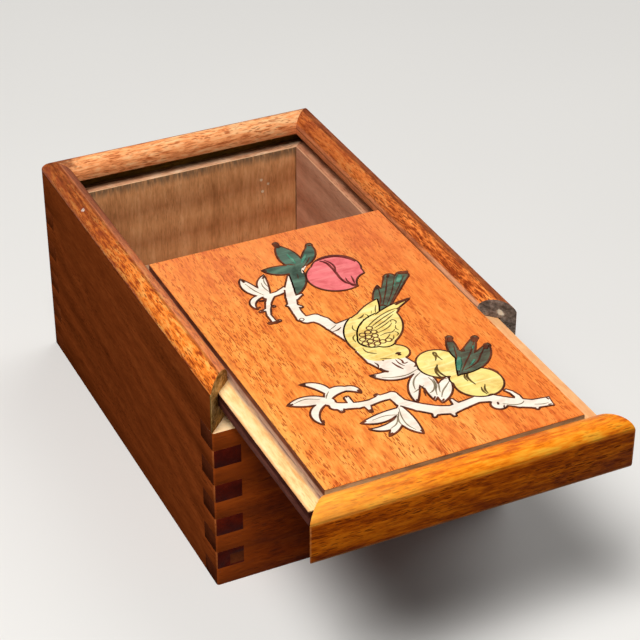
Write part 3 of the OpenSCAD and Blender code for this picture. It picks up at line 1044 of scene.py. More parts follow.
LEDGE = Wood(
    "raw_ledge", roughness=0.62, gloss=0.02, grain=Grain.ALONG_Y, pores=0.6, contrast=0.7,
    dark=tone(150, 90, 66), mid=tone(196, 128, 94), light=tone(224, 160, 122), pore=tone(120, 70, 42),
    marks=(StainAndPaintedLight(Axis.X, 55.5, 0.3, 0.9, tone(232, 178, 134), 0.7, 0.5),),
)
LEDGE_BACK = Wood(
    "raw_ledge_back_painted_shade", roughness=0.62, gloss=0.02, grain=Grain.ALONG_X, pores=0.9, contrast=0.9,
    dark=tone(166, 106, 74), mid=tone(228, 166, 124), light=tone(250, 208, 168), pore=tone(110, 66, 40),
    marks=(
        StainAndPaintedLight(Axis.Y, 132.0, 0.3, 0.9, tone(240, 196, 150), 0.7, 0.7),
        # Painted shade: the back ledge darkens towards the wall, under the lip of the groove.
        StainAndPaintedLight(Axis.Y, 140.0, 2.0, 3.8, tone(84, 54, 32), 0.7, 0.9),
    ),
)
# Painted shade: the faces inside the lid groove are dark olive, standing in for the shade in the groove.
GROOVE = Wood(
    "lid_groove_painted_shade", roughness=0.5, gloss=0.04, grain=Grain.ALONG_X,
    dark=tone(64, 50, 14), mid=tone(104, 84, 28), light=tone(140, 112, 46), pore=tone(34, 24, 10),
    marks=(
        Blot((14.0, 139.0, 88.0), 1.8, GOLD),
        Blot((-14.0, 139.0, 87.4), 1.2, tone(120, 130, 60), 0.8),
        Blot((46.0, 139.0, 88.0), 2.0, GOLD, 0.7),
    ),
)
SIDE_END = Wood(
    "side_end_grain", roughness=0.45, gloss=0.06, grain=Grain.ALONG_Y, pores=0.6, contrast=0.6,
    dark=tone(60, 10, 3), mid=tone(84, 17, 5), light=tone(108, 30, 10), pore=tone(38, 7, 2),
)
MITRE_LEFT = Wood(
    "raw_mitre_left", roughness=0.7, gloss=0.02, grain=Grain.ALONG_Y, contrast=1.0, fibre=1.0, depth=0.4,
    dark=tone(146, 106, 52), mid=tone(216, 168, 98), light=tone(246, 208, 142), pore=tone(104, 70, 32),
)
MITRE_RIGHT = Wood(
    "raw_mitre_right", roughness=0.7, gloss=0.02, grain=Grain.ALONG_Y, contrast=0.7, fibre=0.8, depth=0.4,
    dark=tone(84, 72, 62), mid=tone(128, 112, 100), light=tone(168, 152, 138), pore=tone(58, 46, 38),
    marks=(Blot((62.6, -50.9, 93.2), 1.9, tone(240, 230, 206), 0.9, 0.6),),
)
# Painted shade: the front wall's colours are darkened to stand in for the lid's shadow on it.
FRONT_OUT = Wood(
    "front_varnish_painted_light_and_shade", roughness=0.44, gloss=0.06, grain=Grain.ALONG_X,
    pores=0.8, contrast=0.55, fibre=0.6, log_place=(0.5, 0.3, 0.5),
    dark=tone(90, 28, 5), mid=tone(130, 50, 9), light=tone(162, 72, 16), pore=tone(66, 20, 4),
    # Painted light: the left end of the front wall is paler, where light reaches it beside the lid.
    marks=(StainAndPaintedLight(Axis.X, -67.5, 8.0, 26.0, tone(178, 84, 26), 0.5, 0.4),),
)
FRONT_END = Wood(
    "front_end_grain", roughness=0.5, gloss=0.0, grain=Grain.ALONG_X, pores=0.5, contrast=0.5,
    dark=tone(70, 30, 15), mid=tone(90, 41, 21), light=tone(108, 51, 27), pore=tone(50, 20, 10),
)
FRONT_TOP = Wood(
    "raw_front_top", roughness=0.62, gloss=0.02, grain=Grain.ALONG_X, pores=0.35,
    dark=tone(238, 184, 130), mid=tone(252, 214, 162), light=tone(255, 230, 186), pore=tone(196, 136, 90),
)
BACK_OUT = Wood(
    "back_varnish", roughness=0.44, gloss=0.06, grain=Grain.ALONG_X,
    pores=0.6, contrast=0.7, log_place=(0.9, 0.5, 0.1),
    dark=tone(116, 48, 17), mid=tone(148, 68, 26), light=tone(174, 88, 37), pore=tone(82, 30, 10),
)
BACK_END = Wood(
    "back_end_grain", roughness=0.5, gloss=0.0, grain=Grain.ALONG_X, pores=0.6, contrast=0.5,
    dark=tone(94, 42, 17), mid=tone(118, 55, 23), light=tone(138, 68, 31), pore=tone(70, 29, 12),
)
BACK_IN = Wood(
    "back_inside", roughness=0.58, gloss=0.02, grain=Grain.ALONG_Z,
    pores=0.45, contrast=0.45, fibre=0.7, log_place=(0.2, 0.1, 0.6),
    dark=tone(184, 124, 76), mid=tone(216, 152, 98), light=tone(234, 174, 120), pore=tone(150, 94, 54),
    marks=(
        StainAndPaintedLight(Axis.Z, 83.6, 1.0, 6.0, tone(92, 78, 62), 0.8, 1.0),
        StainAndPaintedLight(Axis.X, 56.0, 0.6, 1.6, CORNER_SOIL, 0.8, 0.6),
        StainAndPaintedLight(Axis.X, -56.0, 0.6, 1.6, CORNER_SOIL, 0.8, 0.6),
        Blot((37.0, 132.0, 70.0), 0.8, PALE_SPECK),
        Blot((40.5, 132.0, 67.0), 1.0, PALE_SPECK),
        Blot((37.6, 132.0, 63.6), 0.7, PALE_SPECK),
    ),
)
RAW_FLOOR = Wood(
    "raw_floor", roughness=0.64, gloss=0.02, grain=Grain.ALONG_Y,
    pores=0.5, contrast=0.7, log_place=(0.8, 0.8, 0.2),
    dark=tone(150, 92, 52), mid=tone(190, 124, 76), light=tone(214, 150, 100), pore=tone(120, 70, 38),
)
PLUG = Wood(
    "plug_end_grain", roughness=0.5, gloss=0.05, grain=Grain.ALONG_Y,
    dark=tone(80, 34, 14), mid=tone(108, 50, 22), light=tone(132, 66, 32), pore=tone(56, 22, 10),
)

# Inlay and its drawn lines
WHITE = Stone(
    "white_stone", roughness=0.4, gloss=0.08, bands=0.5,
    dark=tone(230, 210, 190), mid=tone(246, 232, 213), light=tone(253, 245, 232),
)
PINK = Stone(
    "pink_stone", roughness=0.38, gloss=0.08, bands=0.6,
    dark=tone(214, 94, 96), mid=tone(236, 118, 120), light=tone(248, 146, 142),
)
GREEN = Stone(
    "green_stone", roughness=0.4, gloss=0.06, bands=0.5,
    dark=tone(52, 68, 56), mid=tone(82, 104, 88), light=tone(104, 142, 118),
)
DUSKY = Stone(
    "dusky_stone", roughness=0.4, gloss=0.06, bands=0.7,
    dark=tone(70, 60, 46), mid=tone(90, 94, 74), light=tone(92, 126, 102),
)
TEAL = Stone(
    "teal_stone", roughness=0.4, gloss=0.06, bands=0.6,
    dark=tone(50, 98, 78), mid=tone(74, 132, 107), light=tone(128, 172, 146),
)
YELLOW = Stone(
    "yellow_stone", roughness=0.38, gloss=0.08, bands=0.7,
    dark=tone(226, 186, 96), mid=tone(244, 222, 130), light=tone(253, 243, 172),
)
LINES = Lac("dark_lac", roughness=0.42, gloss=0.06, deep=tone(66, 28, 12), thin=tone(112, 54, 28))
VEINS = Lac("grey_lac", roughness=0.42, gloss=0.06, deep=tone(116, 100, 74), thin=tone(150, 136, 110))
OLIVE = Lac("olive_lac", roughness=0.42, gloss=0.06, deep=tone(78, 56, 18), thin=tone(112, 84, 34))
MAROON = Lac("maroon_lac", roughness=0.42, gloss=0.06, deep=tone(88, 26, 22), thin=tone(128, 52, 44))


def seat(piece: Piece, body: Body, slot: str, *nodes: str) -> None:
    """Makes a piece ride on a body in place of its solids, and logs it.

    Args:
        piece: Finished piece.
        body: Body that it rides on.
        slot: Name of a material slot of the record; not used.
        nodes: Solids that it stands for.
    """
    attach(piece, body.value)
    if nodes:
        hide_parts(*nodes)
    log.info("%s rides on %s, %d faces", piece.name, body.value, len(piece.data.polygons))


def dress(node: str, finish: Finish) -> None:
    """Gives a finish to a solid that is shown as it is, and logs it."""
    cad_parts[node].material_slots[0].material = finish.material()
    log.info("%s keeps its solid", node)


@dataclass
class Rim:
    """Half-round moulding along the top of the walls and the rail.

    Attributes:
        arris: Height of its two edges.
        crown: Height of its middle.
        wide: Its width, that of the walls.
        steps: Facets round it.
    """

    arris: float = 93.8
    crown: float = 99.0
    wide: float = 12.0
    steps: int = 16

    def raise_on(self, piece: Piece, along: Axis, middle: float) -> None:
        """Turns the flat top of a board into the moulding by spinning one top edge over to the other.

        Args:
            piece: Board whose top lies at the arris.
            along: Axis that the board runs along.
            middle: Middle of its thickness on the other level axis.
        """
        rise = self.crown - self.arris
        radius = (self.wide**2 / 4 + rise**2) / (2 * rise)
        pivot_z = self.crown - radius
        turn = math.pi - 2 * math.asin((self.arris - pivot_z) / radius)
        runs_y = along is Axis.Y
        start = middle - self.wide / 2 if runs_y else middle + self.wide / 2
        pivot = (middle, 0.0, pivot_z) if runs_y else (0.0, middle, pivot_z)
        across = Axis.X.value if runs_y else Axis.Y.value

        def on_start(place: Vector, way: Vector) -> bool:
            """Tells whether an edge is the one that the spin starts from."""
            level = abs(place.z - self.arris) < NEAR and abs(way[along.value]) > SQUARE
            return level and abs(place[across] - start) < NEAR

        with Bench.editing(piece):
            Bench.pick(piece, Pick.FACES, lambda place, normal: normal.z > SQUARE)
            bpy.ops.mesh.delete(type="ONLY_FACE")
            Bench.pick(piece, Pick.EDGES, on_start)
            axis = (0, 1, 0) if runs_y else (1, 0, 0)
            bpy.ops.mesh.spin(steps=self.steps, angle=-turn, center=[part * MM for part in pivot], axis=axis)
            bpy.ops.mesh.select_all(action="SELECT")
            bpy.ops.mesh.remove_doubles(threshold=NEAR * MM)
            bpy.ops.mesh.select_all(action="SELECT")
            bpy.ops.mesh.fill_holes(sides=0)
            bpy.ops.mesh.select_all(action="SELECT")
            bpy.ops.mesh.normals_make_consistent(inside=False)


@dataclass
class Carcass:
    """Four finger-jointed walls with their rim, the floor and the plugs of its grooves.

    Attributes:
        half: Half the outside width.
        front: Outside face at the front.
        back: Outside face at the back.
        wall: Thickness of the walls.
        front_top: Top of the low front wall and of the finger joints.
        fingers: Fingers up each corner.
        ledge: Floor of the lid groove.
        groove_top: Roof of the lid groove.
        groove: Depth of the lid groove.
        floor_low: Underside of the floor panel.
        floor_high: Upper side of the floor panel.
        floor_groove: Depth of the floor's grooves.
        corner: Radius of the outside corners.
        corner_steps: Facets round them.
        broken: Width of the broken edges.
        chamfer: Width of the chamfer round the floor's lower edge.
        wedge: Side of the block that cuts a mitre.
    """

    half: float = 67.5
    front: float = -56.0
    back: float = 144.0
    wall: float = 12.0
    front_top: float = 76.0
    fingers: int = 9
    ledge: float = 83.6
    groove_top: float = 90.6
    groove: float = 7.0
    floor_low: float = 9.244
    floor_high: float = 14.244
    floor_groove: float = 6.0
    corner: float = 1.0
    corner_steps: int = 3
    broken: float = 0.22
    chamfer: float = 1.2
    wedge: float = 60.0

    def __post_init__(self) -> None:
        """Sets up the rim and the finger height."""
        self.rim = Rim(wide=self.wall)
        self.finger = self.front_top / self.fingers

    def rounded_blank(self) -> Piece:
        """Models the solid to which every outside piece is trimmed.

        Returns:
            The solid, with rounded upright corners.
        """
        high = (self.half, self.back, self.rim.crown + 2 * OVER)
        blank = Bench.block("trim", (-self.half, self.front, -OVER), high)
        with Bench.editing(blank):
            Bench.pick(blank, Pick.EDGES, lambda place, way: abs(way.z) > SQUARE)
            bpy.ops.mesh.bevel(offset=self.corner * MM, segments=self.corner_steps, affect="EDGES")
        return blank

    def comb(self, side: float, end: float, first: int) -> Piece:
        """Models the block of waste between two fingers and repeats it up one corner.

        Args:
            side: Sign of the corner's X.
            end: Sign of the corner's Y, seen from the middle of the box.
            first: Lowest finger taken out.

        Returns:
            The waste of that corner, ready to be cut away.
        """
        x = sorted((side * (self.half + OVER), side * (self.half - self.wall)))
        face = self.back if end > 0 else self.front
        y = sorted((face + end * OVER, face - end * self.wall))
        low = first * self.finger
        waste = Bench.block("waste", (x[0], y[0], low), (x[1], y[1], low + self.finger))
        return Bench.row(waste, len(range(first, self.fingers, 2)), (0.0, 0.0, 2 * self.finger))

    def mitre(self, side: float, end: float, cross: bool) -> Piece:
        """Models the wedge beyond a mitre above the finger joints.

        Args:
            side: Sign of the corner's X.
            end: Sign of the corner's Y, seen from the middle of the box.
            cross: True for a piece that runs across the box, False for a side wall.

        Returns:
            The wedge, ready to be cut away.
        """
        reach = self.wedge / 2
        face = self.back if end > 0 else self.front
        away = reach / math.sqrt(2)
        x = side * (self.half + away) if cross else side * (self.half - away)
        y = face - end * away if cross else face + end * away
        low = (x - reach, y - reach, self.front_top)
        high = (x + reach, y + reach, self.front_top + self.wedge)
        return Bench.block("wedge", low, high, turn=45.0)

    def side_wall(self, name: str, side: float) -> Piece:
        """Models a side wall: moulded, grooved, jointed and mitred.

        Args:
            name: Name of the solid that it stands for.
            side: Sign of its X.

        Returns:
            The finished wall.
        """
        inner = self.half - self.wall
        x = sorted((side * inner, side * self.half))
        wall = Bench.block(f"{name}_board", (x[0], self.front, 0.0), (x[1], self.back, self.rim.arris))
        self.rim.raise_on(wall, Axis.Y, side * (inner + self.wall / 2))
        slot_x = sorted((side * (inner - OVER), side * (inner + self.groove)))
        panel_x = sorted((side * (inner - OVER), side * (inner + self.floor_groove)))
        front, back = self.front - OVER, self.back + OVER
        Bench.cut(
            wall,
            Bench.block("slot", (slot_x[0], front, self.ledge), (slot_x[1], back, self.groove_top)),
            Bench.block("slot", (panel_x[0], front, self.floor_low), (panel_x[1], back, self.floor_high)),
            self.comb(side, -1.0, 0),
            self.comb(side, 1.0, 0),
            self.mitre(side, -1.0, cross=False),
            self.mitre(side, 1.0, cross=False),
        )
        Bench.cut(wall, self.rounded_blank(), keep=True)
        Bench.ease(wall, self.broken)
        return wall

    def dress_side(self, wall: Piece, side: float) -> None:
        """Gives a side wall its finishes.

        Args:
            wall: Finished wall.
            side: Sign of its X.
        """
        inner = self.half - self.wall
        rim = RIM_LEFT if side < 0 else RIM_RIGHT
        mitre = MITRE_LEFT if side < 0 else MITRE_RIGHT

        def inside(p: Vector, n: Vector) -> bool:
            """Tells whether a face lies on the inside of the wall, below the lid groove."""
            return n.x * side < -STEEP and p.x * side < inner + SKIN and p.z < self.ledge

        def on_rim(p: Vector, n: Vector) -> bool:
            """Tells whether a face belongs to the moulding or to the lip under it."""
            return p.z > self.groove_top + HAIR and (p.z > self.rim.arris or n.x * side < 0)

        def in_groove(p: Vector, n: Vector) -> bool:
            """Tells whether a face lies in the lid groove."""
            return self.in_slot(p) and p.x * side > inner + EDGE and abs(n.y) < STEEP

        def on_mitre(p: Vector, n: Vector) -> bool:
            """Tells whether a face is one of the slanting ends of the moulding."""
            return min(abs(n.x), abs(n.y)) > LEANING and p.z > self.front_top + MARGIN

        Bench.paint(wall, SIDE_OUT)
        Bench.paint(wall, SIDE_IN, inside)
        Bench.paint(wall, rim, on_rim)
        Bench.paint(wall, GROOVE, in_groove)
        Bench.paint(wall, LEDGE, lambda p, n: n.z > STEEP and abs(p.z - self.ledge) < MARGIN)
        Bench.paint(wall, SIDE_END, lambda p, n: abs(n.y) > SQUARE and p.z < self.front_top)
        Bench.paint(wall, mitre, on_mitre)

    def in_slot(self, place: Vector) -> bool:
        """Tells whether a place lies between the floor and the roof of the lid groove."""
        return self.ledge - EDGE < place.z < self.groove_top + EDGE

    def front_wall(self) -> Piece:
        """Models and dresses the low front wall, over which the lid's rail passes.

        Returns:
            The finished wall.
        """
        inner = self.front + self.wall
        low = (-self.half, self.front, 0.0)
        wall = Bench.block("front_wall_board", low, (self.half, inner, self.front_top))
        over = self.half + OVER
        slot_low = (-over, inner - self.floor_groove, self.floor_low)
        slot = Bench.block("slot", slot_low, (over, inner + OVER, self.floor_high))
        Bench.cut(wall, slot, self.comb(-1.0, -1.0, 1), self.comb(1.0, -1.0, 1))
        Bench.cut(wall, self.rounded_blank(), keep=True)
        Bench.ease(wall, self.broken)
        Bench.paint(wall, FRONT_OUT)
        Bench.paint(wall, FRONT_END, lambda p, n: abs(n.x) > SQUARE)
        Bench.paint(wall, BACK_IN, lambda p, n: n.y > STEEP and p.y > inner - SKIN)
        Bench.paint(wall, FRONT_TOP, lambda p, n: n.z > STEEP and p.z > self.front_top - EDGE)
        return wall

    def back_wall(self) -> Piece:
        """Models and dresses the back wall: moulded, grooved, jointed and mitred.

        Returns:
            The finished wall.
        """
        inner = self.back - self.wall
        low = (-self.half, inner, 0.0)
        wall = Bench.block("back_wall_board", low, (self.half, self.back, self.rim.arris))
        self.rim.raise_on(wall, Axis.X, inner + self.wall / 2)
        over, before = self.half + OVER, inner - OVER
        slot_high = (over, inner + self.groove, self.groove_top)
        panel_high = (over, inner + self.floor_groove, self.floor_high)
        Bench.cut(
            wall,
            Bench.block("slot", (-over, before, self.ledge), slot_high),
            Bench.block("slot", (-over, before, self.floor_low), panel_high),
            self.comb(-1.0, 1.0, 1),
            self.comb(1.0, 1.0, 1),
            self.mitre(-1.0, 1.0, cross=True),
            self.mitre(1.0, 1.0, cross=True),
        )
        Bench.cut(wall, self.rounded_blank(), keep=True)
        Bench.ease(wall, self.broken)

        def on_rim(p: Vector, n: Vector) -> bool:
            """Tells whether a face belongs to the moulding or to the lip under it."""
            return p.z > self.groove_top + HAIR and (p.z > self.rim.arris or n.y < 0)

        Bench.paint(wall, BACK_OUT)
        Bench.paint(wall, BACK_IN, lambda p, n: n.y < -STEEP and p.y < inner + SKIN and p.z < self.ledge)
        Bench.paint(wall, RIM_BACK, on_rim)
        Bench.paint(wall, GROOVE, lambda p, n: self.in_slot(p) and p.y > inner + EDGE)
        Bench.paint(wall, LEDGE_BACK, lambda p, n: n.z > STEEP and abs(p.z - self.ledge) < MARGIN)
        Bench.paint(wall, BACK_END, lambda p, n: abs(n.x) > SQUARE)
        return wall

    def floor_panel(self) -> Piece:
        """Models and dresses the floor, chamfered round its lower edge where it enters the grooves.

        Returns:
            The finished floor.
        """
        low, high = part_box("bottom_panel")
        panel = Bench.block("floor_board", tuple(low / MM), tuple(high / MM))
        with Bench.editing(panel):
            Bench.pick(panel, Pick.EDGES, lambda place, way: place.z < self.floor_low + NEAR)
            bpy.ops.mesh.bevel(offset=self.chamfer * MM, segments=1, affect="EDGES")
        Bench.ease(panel, self.broken)
        Bench.paint(panel, RAW_FLOOR)
        return panel

    def build(self) -> None:
        """Models, dresses and seats the whole carcass."""
        for name, side in (("left_wall", -1.0), ("right_wall", 1.0)):
            wall = self.side_wall(name, side)
            self.dress_side(wall, side)
            seat(wall, Body.BOX, "side_wood", name)
        seat(self.front_wall(), Body.BOX, "end_wood", "front_wall")
        seat(self.back_wall(), Body.BOX, "end_wood", "back_wall")
        seat(self.floor_panel(), Body.BOX, "raw_wood", "bottom_panel")
        dress("groove_plugs", PLUG)


@dataclass
class Lid:
    """The sliding lid: a panel with a raised field and a moulded rail.

    Attributes:
        field_half: Half the width of the raised field.
        field_front: Front edge of the field.
        field_back: Back edge of the field.
        field_top: Top of the field.
        field_edge: Radius of its upper edges.
        edge_steps: Facets round a rounded edge.
        panel_broken: Width of the panel's broken edges.
        rail_broken: Width of the rail's broken edges.
        level: Turn up to which two faces are merged into one, in degrees.
        tongue_half: Half the width over the tongues.
        tongue_back: Back edge of the back tongue.
        tongue_low: Underside of the panel.
        tongue_high: Upper side of the tongues.
        rail_front: Outside face of the rail.
        rail_back: Face of the rail against the panel.
        rail_low: Underside of the rail.
        rail_half: Half the rail's length at its outside face.
        rail_edge: Radius of its lower edges.
        tenon_half: Half the width of the tenon.
        tenon: Length of the tenon.
        shoulder: Shoulder above and below the tenon.
    """

    field_half: float = 54.2
    field_front: float = -129.0
    field_back: float = 42.7
    field_top: float = 95.6
    field_edge: float = 0.8
    edge_steps: int = 4
    panel_broken: float = 0.2
    rail_broken: float = 0.25
    level: float = 1.0
    tongue_half: float = 62.0
    tongue_back: float = 50.5
    tongue_low: float = 83.9
    tongue_high: float = 90.3
    rail_front: float = -144.0
    rail_back: float = -132.0
    rail_low: float = 76.5
    rail_half: float = 67.2
    rail_edge: float = 1.4
    tenon_half: float = 50.5
    tenon: float = 6.0
    shoulder: float = 1.0

    def panel(self) -> Piece:
        """Models and dresses the panel: tongues, tenon and raised field, with its upper edges rounded.

        Returns:
            The finished panel.
        """
        low = (-self.tongue_half, self.rail_back, self.tongue_low)
        panel = Bench.block("lid_panel_board", low, (self.tongue_half, self.tongue_back, self.tongue_high))
        with Bench.editing(panel):
            for x in (-self.field_half, self.field_half, -self.tenon_half, self.tenon_half):
                Bench.slice((x, 0.0, 0.0), (1.0, 0.0, 0.0))
            for y in (self.field_front, self.field_back):
                Bench.slice((0.0, y, 0.0), (0.0, 1.0, 0.0))
            for z in (self.tongue_low + self.shoulder, self.tongue_high - self.shoulder):
                Bench.slice((0.0, 0.0, z), (0.0, 0.0, 1.0))
            Bench.pick(panel, Pick.FACES, lambda p, n: n.z > SQUARE and self.on_field(p))
            Bench.extrude((0.0, 0.0, self.field_top - self.tongue_high))
            Bench.pick(panel, Pick.FACES, lambda p, n: n.y < -SQUARE and self.on_tenon(p))
            Bench.extrude((0.0, -self.tenon, 0.0))
            Bench.pick(panel, Pick.EDGES, lambda p, way: self.on_outline(p))
            bpy.ops.mesh.bevel(offset=self.field_edge * MM, segments=self.edge_steps, affect="EDGES")
            bpy.ops.mesh.select_all(action="SELECT")
            bpy.ops.mesh.dissolve_limited(angle_limit=math.radians(self.level))
        Bench.ease(panel, self.panel_broken)
        raised = self.tongue_high + HAIR
        Bench.paint(panel, TONGUE)
        Bench.paint(panel, TONGUE_BACK, lambda p, n: p.y > self.field_back and n.z > LEANING)
        Bench.paint(panel, CHANNEL, lambda p, n: p.y < self.field_front and n.z > LEANING)
        Bench.paint(panel, FIELD_EDGE, lambda p, n: p.z > raised and abs(n.z) < LEANING)
        Bench.paint(panel, FIELD_FRONT, lambda p, n: p.z > raised and n.y < -SQUARE)
        Bench.paint(panel, FIELD, lambda p, n: p.z > raised and n.z >= LEANING)
        Bench.paint(panel, TONGUE_EDGE, lambda p, n: p.z < self.tongue_high - EDGE and n.z < LEANING)
        return panel

    def on_field(self, place: Vector) -> bool:
        """Tells whether a place lies over the raised field."""
        return abs(place.x) < self.field_half and self.field_front < place.y < self.field_back

    def on_tenon(self, place: Vector) -> bool:
        """Tells whether a place on the front edge lies where the tenon leaves it.

        Args:
            place: Middle of a face, in millimetres.

        Returns:
            True for the faces that the tenon is drawn from.
        """
        middle = (self.tongue_low + self.tongue_high) / 2
        tall = (self.tongue_high - self.tongue_low) / 2 - self.shoulder
        return abs(place.x) < self.tenon_half and abs(place.z - middle) < tall and place.y < self.field_front

    def on_outline(self, place: Vector) -> bool:
        """Tells whether a place lies on the upper outline of the field.

        Args:
            place: Middle of an edge, in millimetres.

        Returns:
            True for the edges that are rounded.
        """
        aside = abs(abs(place.x) - self.field_half)
        endways = min(abs(place.y - self.field_front), abs(place.y - self.field_back))
        return abs(place.z - self.field_top) < NEAR and min(aside, endways) < NEAR

    def rail(self) -> Piece:
        """Models and dresses the rail: moulded on top, rounded below, mitred at both ends and mortised.

        Returns:
            The finished rail.
        """
        rim = Rim()
        low = (-self.rail_half - OVER, self.rail_front, self.rail_low)
        rail = Bench.block("lid_rail_board", low, (self.rail_half + OVER, self.rail_back, rim.arris))
        rim.raise_on(rail, Axis.X, (self.rail_front + self.rail_back) / 2)
        with Bench.editing(rail):
            Bench.pick(rail, Pick.EDGES, lambda p, way: abs(way.x) > SQUARE and p.z < self.rail_low + NEAR)
            bpy.ops.mesh.bevel(offset=self.rail_edge * MM, segments=self.edge_steps, affect="EDGES")
            for side in (-1.0, 1.0):
                Bench.slice((side * self.rail_half, self.rail_front, 0.0), (side, 1.0, 0.0), trim=True)
        mortise_low = (-self.tenon_half, self.rail_back - self.tenon, self.tongue_low + self.shoulder)
        mortise_high = (self.tenon_half, self.rail_back + OVER, self.tongue_high - self.shoulder)
        Bench.cut(rail, Bench.block("mortise", mortise_low, mortise_high))
        Bench.ease(rail, self.rail_broken)
        Bench.paint(rail, RAIL)
        Bench.paint(rail, RAIL_FRONT, lambda p, n: n.y < -STEEP and p.z < rim.arris)
        Bench.paint(rail, RAIL_END, lambda p, n: abs(n.x) > LEANING)
        return rail

    def build(self) -> None:
        """Models, dresses and seats the panel and the rail."""
        seat(self.panel(), Body.LID, "lid_wood", "lid_panel")
        seat(self.rail(), Body.LID, "rail_wood", "lid_rail")


@dataclass(frozen=True)
class Stroke:
    """A drawn line through a few points of the picture.

    Attributes:
        points: Points from the middle of the field, in millimetres.
        width: Width at its thickest, in millimetres.
        taper: Width at its ends, as a share of that.
    """

    points: tuple[Spot, ...]
    width: float = 0.55
    taper: float = 0.45


def ring(x: float, y: float, radius: float, width: float = 0.4, steps: int = 10) -> Stroke:
    """Draws a closed ring of even width.

    Args:
        x: Middle across the field.
        y: Middle along the field.
        radius: Radius of the ring.
        width: Width of the line.
        steps: Points round the ring.

    Returns:
        The ring as a stroke.
    """
    turns = [math.tau * step / steps for step in range(steps + 1)]
    points = tuple((x + radius * math.cos(turn), y + radius * math.sin(turn)) for turn in turns)
    return Stroke(points, width, taper=1.0)


PEACH_LINES = (
    Stroke(
        ((11.6, 56.8), (13.2, 54.6), (13.8, 50.0), (13.7, 45.0), (13.5, 40.0), (14.2, 36.4), (15.8, 34.2)),
        1.0,
        0.7,
    ),
    Stroke(((13.6, 56.8), (15.1, 53.2), (15.2, 50.0), (14.3, 46.6)), 0.8),
    Stroke(((15.6, 40.0), (15.2, 37.2), (15.9, 34.6)), 0.7),
    Stroke(((18.3, 40.4), (17.7, 37.0), (17.0, 34.4)), 0.8),
    Stroke(((15.4, 34.6), (16.6, 33.2), (17.4, 33.6)), 1.7, 0.7),
    Stroke(((9.4, 57.2), (12.6, 58.2), (16.4, 58.3), (20.4, 56.9), (23.5, 53.8), (25.1, 50.0)), 1.5),
)
LEAF_LINES = (
    Stroke(((4.6, 56.6), (7.0, 58.8), (9.0, 61.4)), 0.6),
    Stroke(((-2.6, 60.2), (-0.6, 59.4), (1.0, 58.0)), 0.6),
    Stroke(((-2.6, 47.6), (-1.8, 49.6), (-1.4, 51.4)), 0.45),
    Stroke(((0.6, 78.0), (0.5, 75.8), (0.4, 74.0)), 1.6, 0.7),
    Stroke(((13.3, 70.9), (12.8, 69.9)), 1.5, 0.8),
    Stroke(((-13.2, 59.8), (-11.8, 58.8)), 1.6, 0.6),
)
TAIL_LINES = (
    Stroke(((18.0, 14.0), (20.6, 17.6), (24.4, 27.2)), 0.7),
    Stroke(((20.0, 14.4), (26.0, 23.6), (31.6, 33.2)), 0.6),
    Stroke(((21.4, 13.6), (28.4, 22.6), (34.6, 32.6)), 0.5),
    Stroke(((22.6, 13.4), (30.8, 22.4), (38.6, 31.4)), 0.5),
    Stroke(((24.4, 28.4), (23.6, 26.4)), 1.7, 0.6),
    Stroke(((32.8, 34.6), (31.4, 32.8)), 1.8, 0.6),
    Stroke(((36.6, 33.8), (39.0, 33.4), (40.4, 32.4)), 1.8, 0.7),
    Stroke(((17.8, 13.6), (19.4, 14.6), (21.4, 12.6)), 1.1),
)
BODY_LINES = (
    Stroke(((2.0, 6.0), (1.1, 3.6), (1.8, 1.0)), 0.5),
    Stroke(((8.2, 8.4), (6.4, 6.2), (4.8, 4.4)), 0.5),
    Stroke(((0.0, -0.4), (-1.8, -2.4), (-2.1, -5.6)), 0.6),
    Stroke(((-1.6, -10.6), (-1.4, -13.4), (0.4, -15.4), (1.7, -16.2)), 0.6),
    Stroke(((10.4, 11.6), (10.9, 9.6), (10.5, 8.2)), 0.5),
    Stroke(((13.8, 12.6), (12.8, 10.6)), 0.5),
    Stroke(((17.4, 15.6), (15.6, 12.6), (14.6, 10.2)), 0.45),
    Stroke(((6.2, 9.6), (7.6, 9.8), (9.8, 11.4)), 0.8),
    Stroke(((1.2, -20.2), (3.4, -21.0), (5.4, -21.9)), 0.55),
)
WING_LINES = (
    Stroke(((6.5, 2.0), (10.0, 4.6), (14.0, 7.0), (18.0, 8.7), (22.0, 9.8), (24.4, 9.7)), 0.5),
    Stroke(((8.0, 1.5), (11.5, 3.6), (15.0, 5.4), (19.0, 7.2), (22.4, 8.6)), 0.5),
    Stroke(((9.0, 0.4), (12.0, 1.8), (15.5, 3.4), (18.5, 5.2), (20.6, 6.4)), 0.5),
    Stroke(((9.0, -1.2), (12.0, 0.0), (15.0, 1.4), (17.6, 3.0)), 0.5),
    Stroke(((8.5, -3.2), (12.0, -2.4), (15.0, -1.0), (17.2, 1.0)), 0.5),
    Stroke(((8.6, -5.6), (11.5, -4.8), (14.4, -5.0), (16.2, -3.6)), 0.5),
    Stroke(((17.0, 1.6), (18.2, 3.0), (19.2, 1.4), (18.2, -0.4)), 0.5),
    Stroke(((17.8, -1.2), (16.8, -3.4), (17.4, -5.2)), 0.5),
    Stroke(((15.4, -4.8), (16.0, -7.0), (14.6, -8.4)), 0.5),
    Stroke(((9.0, -8.8), (11.4, -7.4), (13.0, -5.8)), 0.5),
    Stroke(((10.6, -10.6), (12.6, -9.4), (13.8, -7.4)), 0.5),
)
SCALE_CELLS = (
    (2.6, -1.9), (5.4, -1.1), (7.7, -1.9), (7.3, 1.3), (1.2, -4.9), (4.1, -4.3), (6.9, -4.5),
    (0.8, -8.0), (3.4, -7.3), (6.2, -7.0), (2.6, -10.3), (5.2, -10.0), (7.8, -9.6), (10.4, -9.6),
)
SPIKE_LINES = (
    Stroke(((24.6, 12.4), (28.4, 13.6), (31.6, 14.2)), 1.2, 0.8),
    Stroke(((31.8, 14.3), (30.8, 14.0)), 1.8, 0.8),
    Stroke(((24.9, 9.8), (23.6, 9.2)), 1.3, 0.6),
)
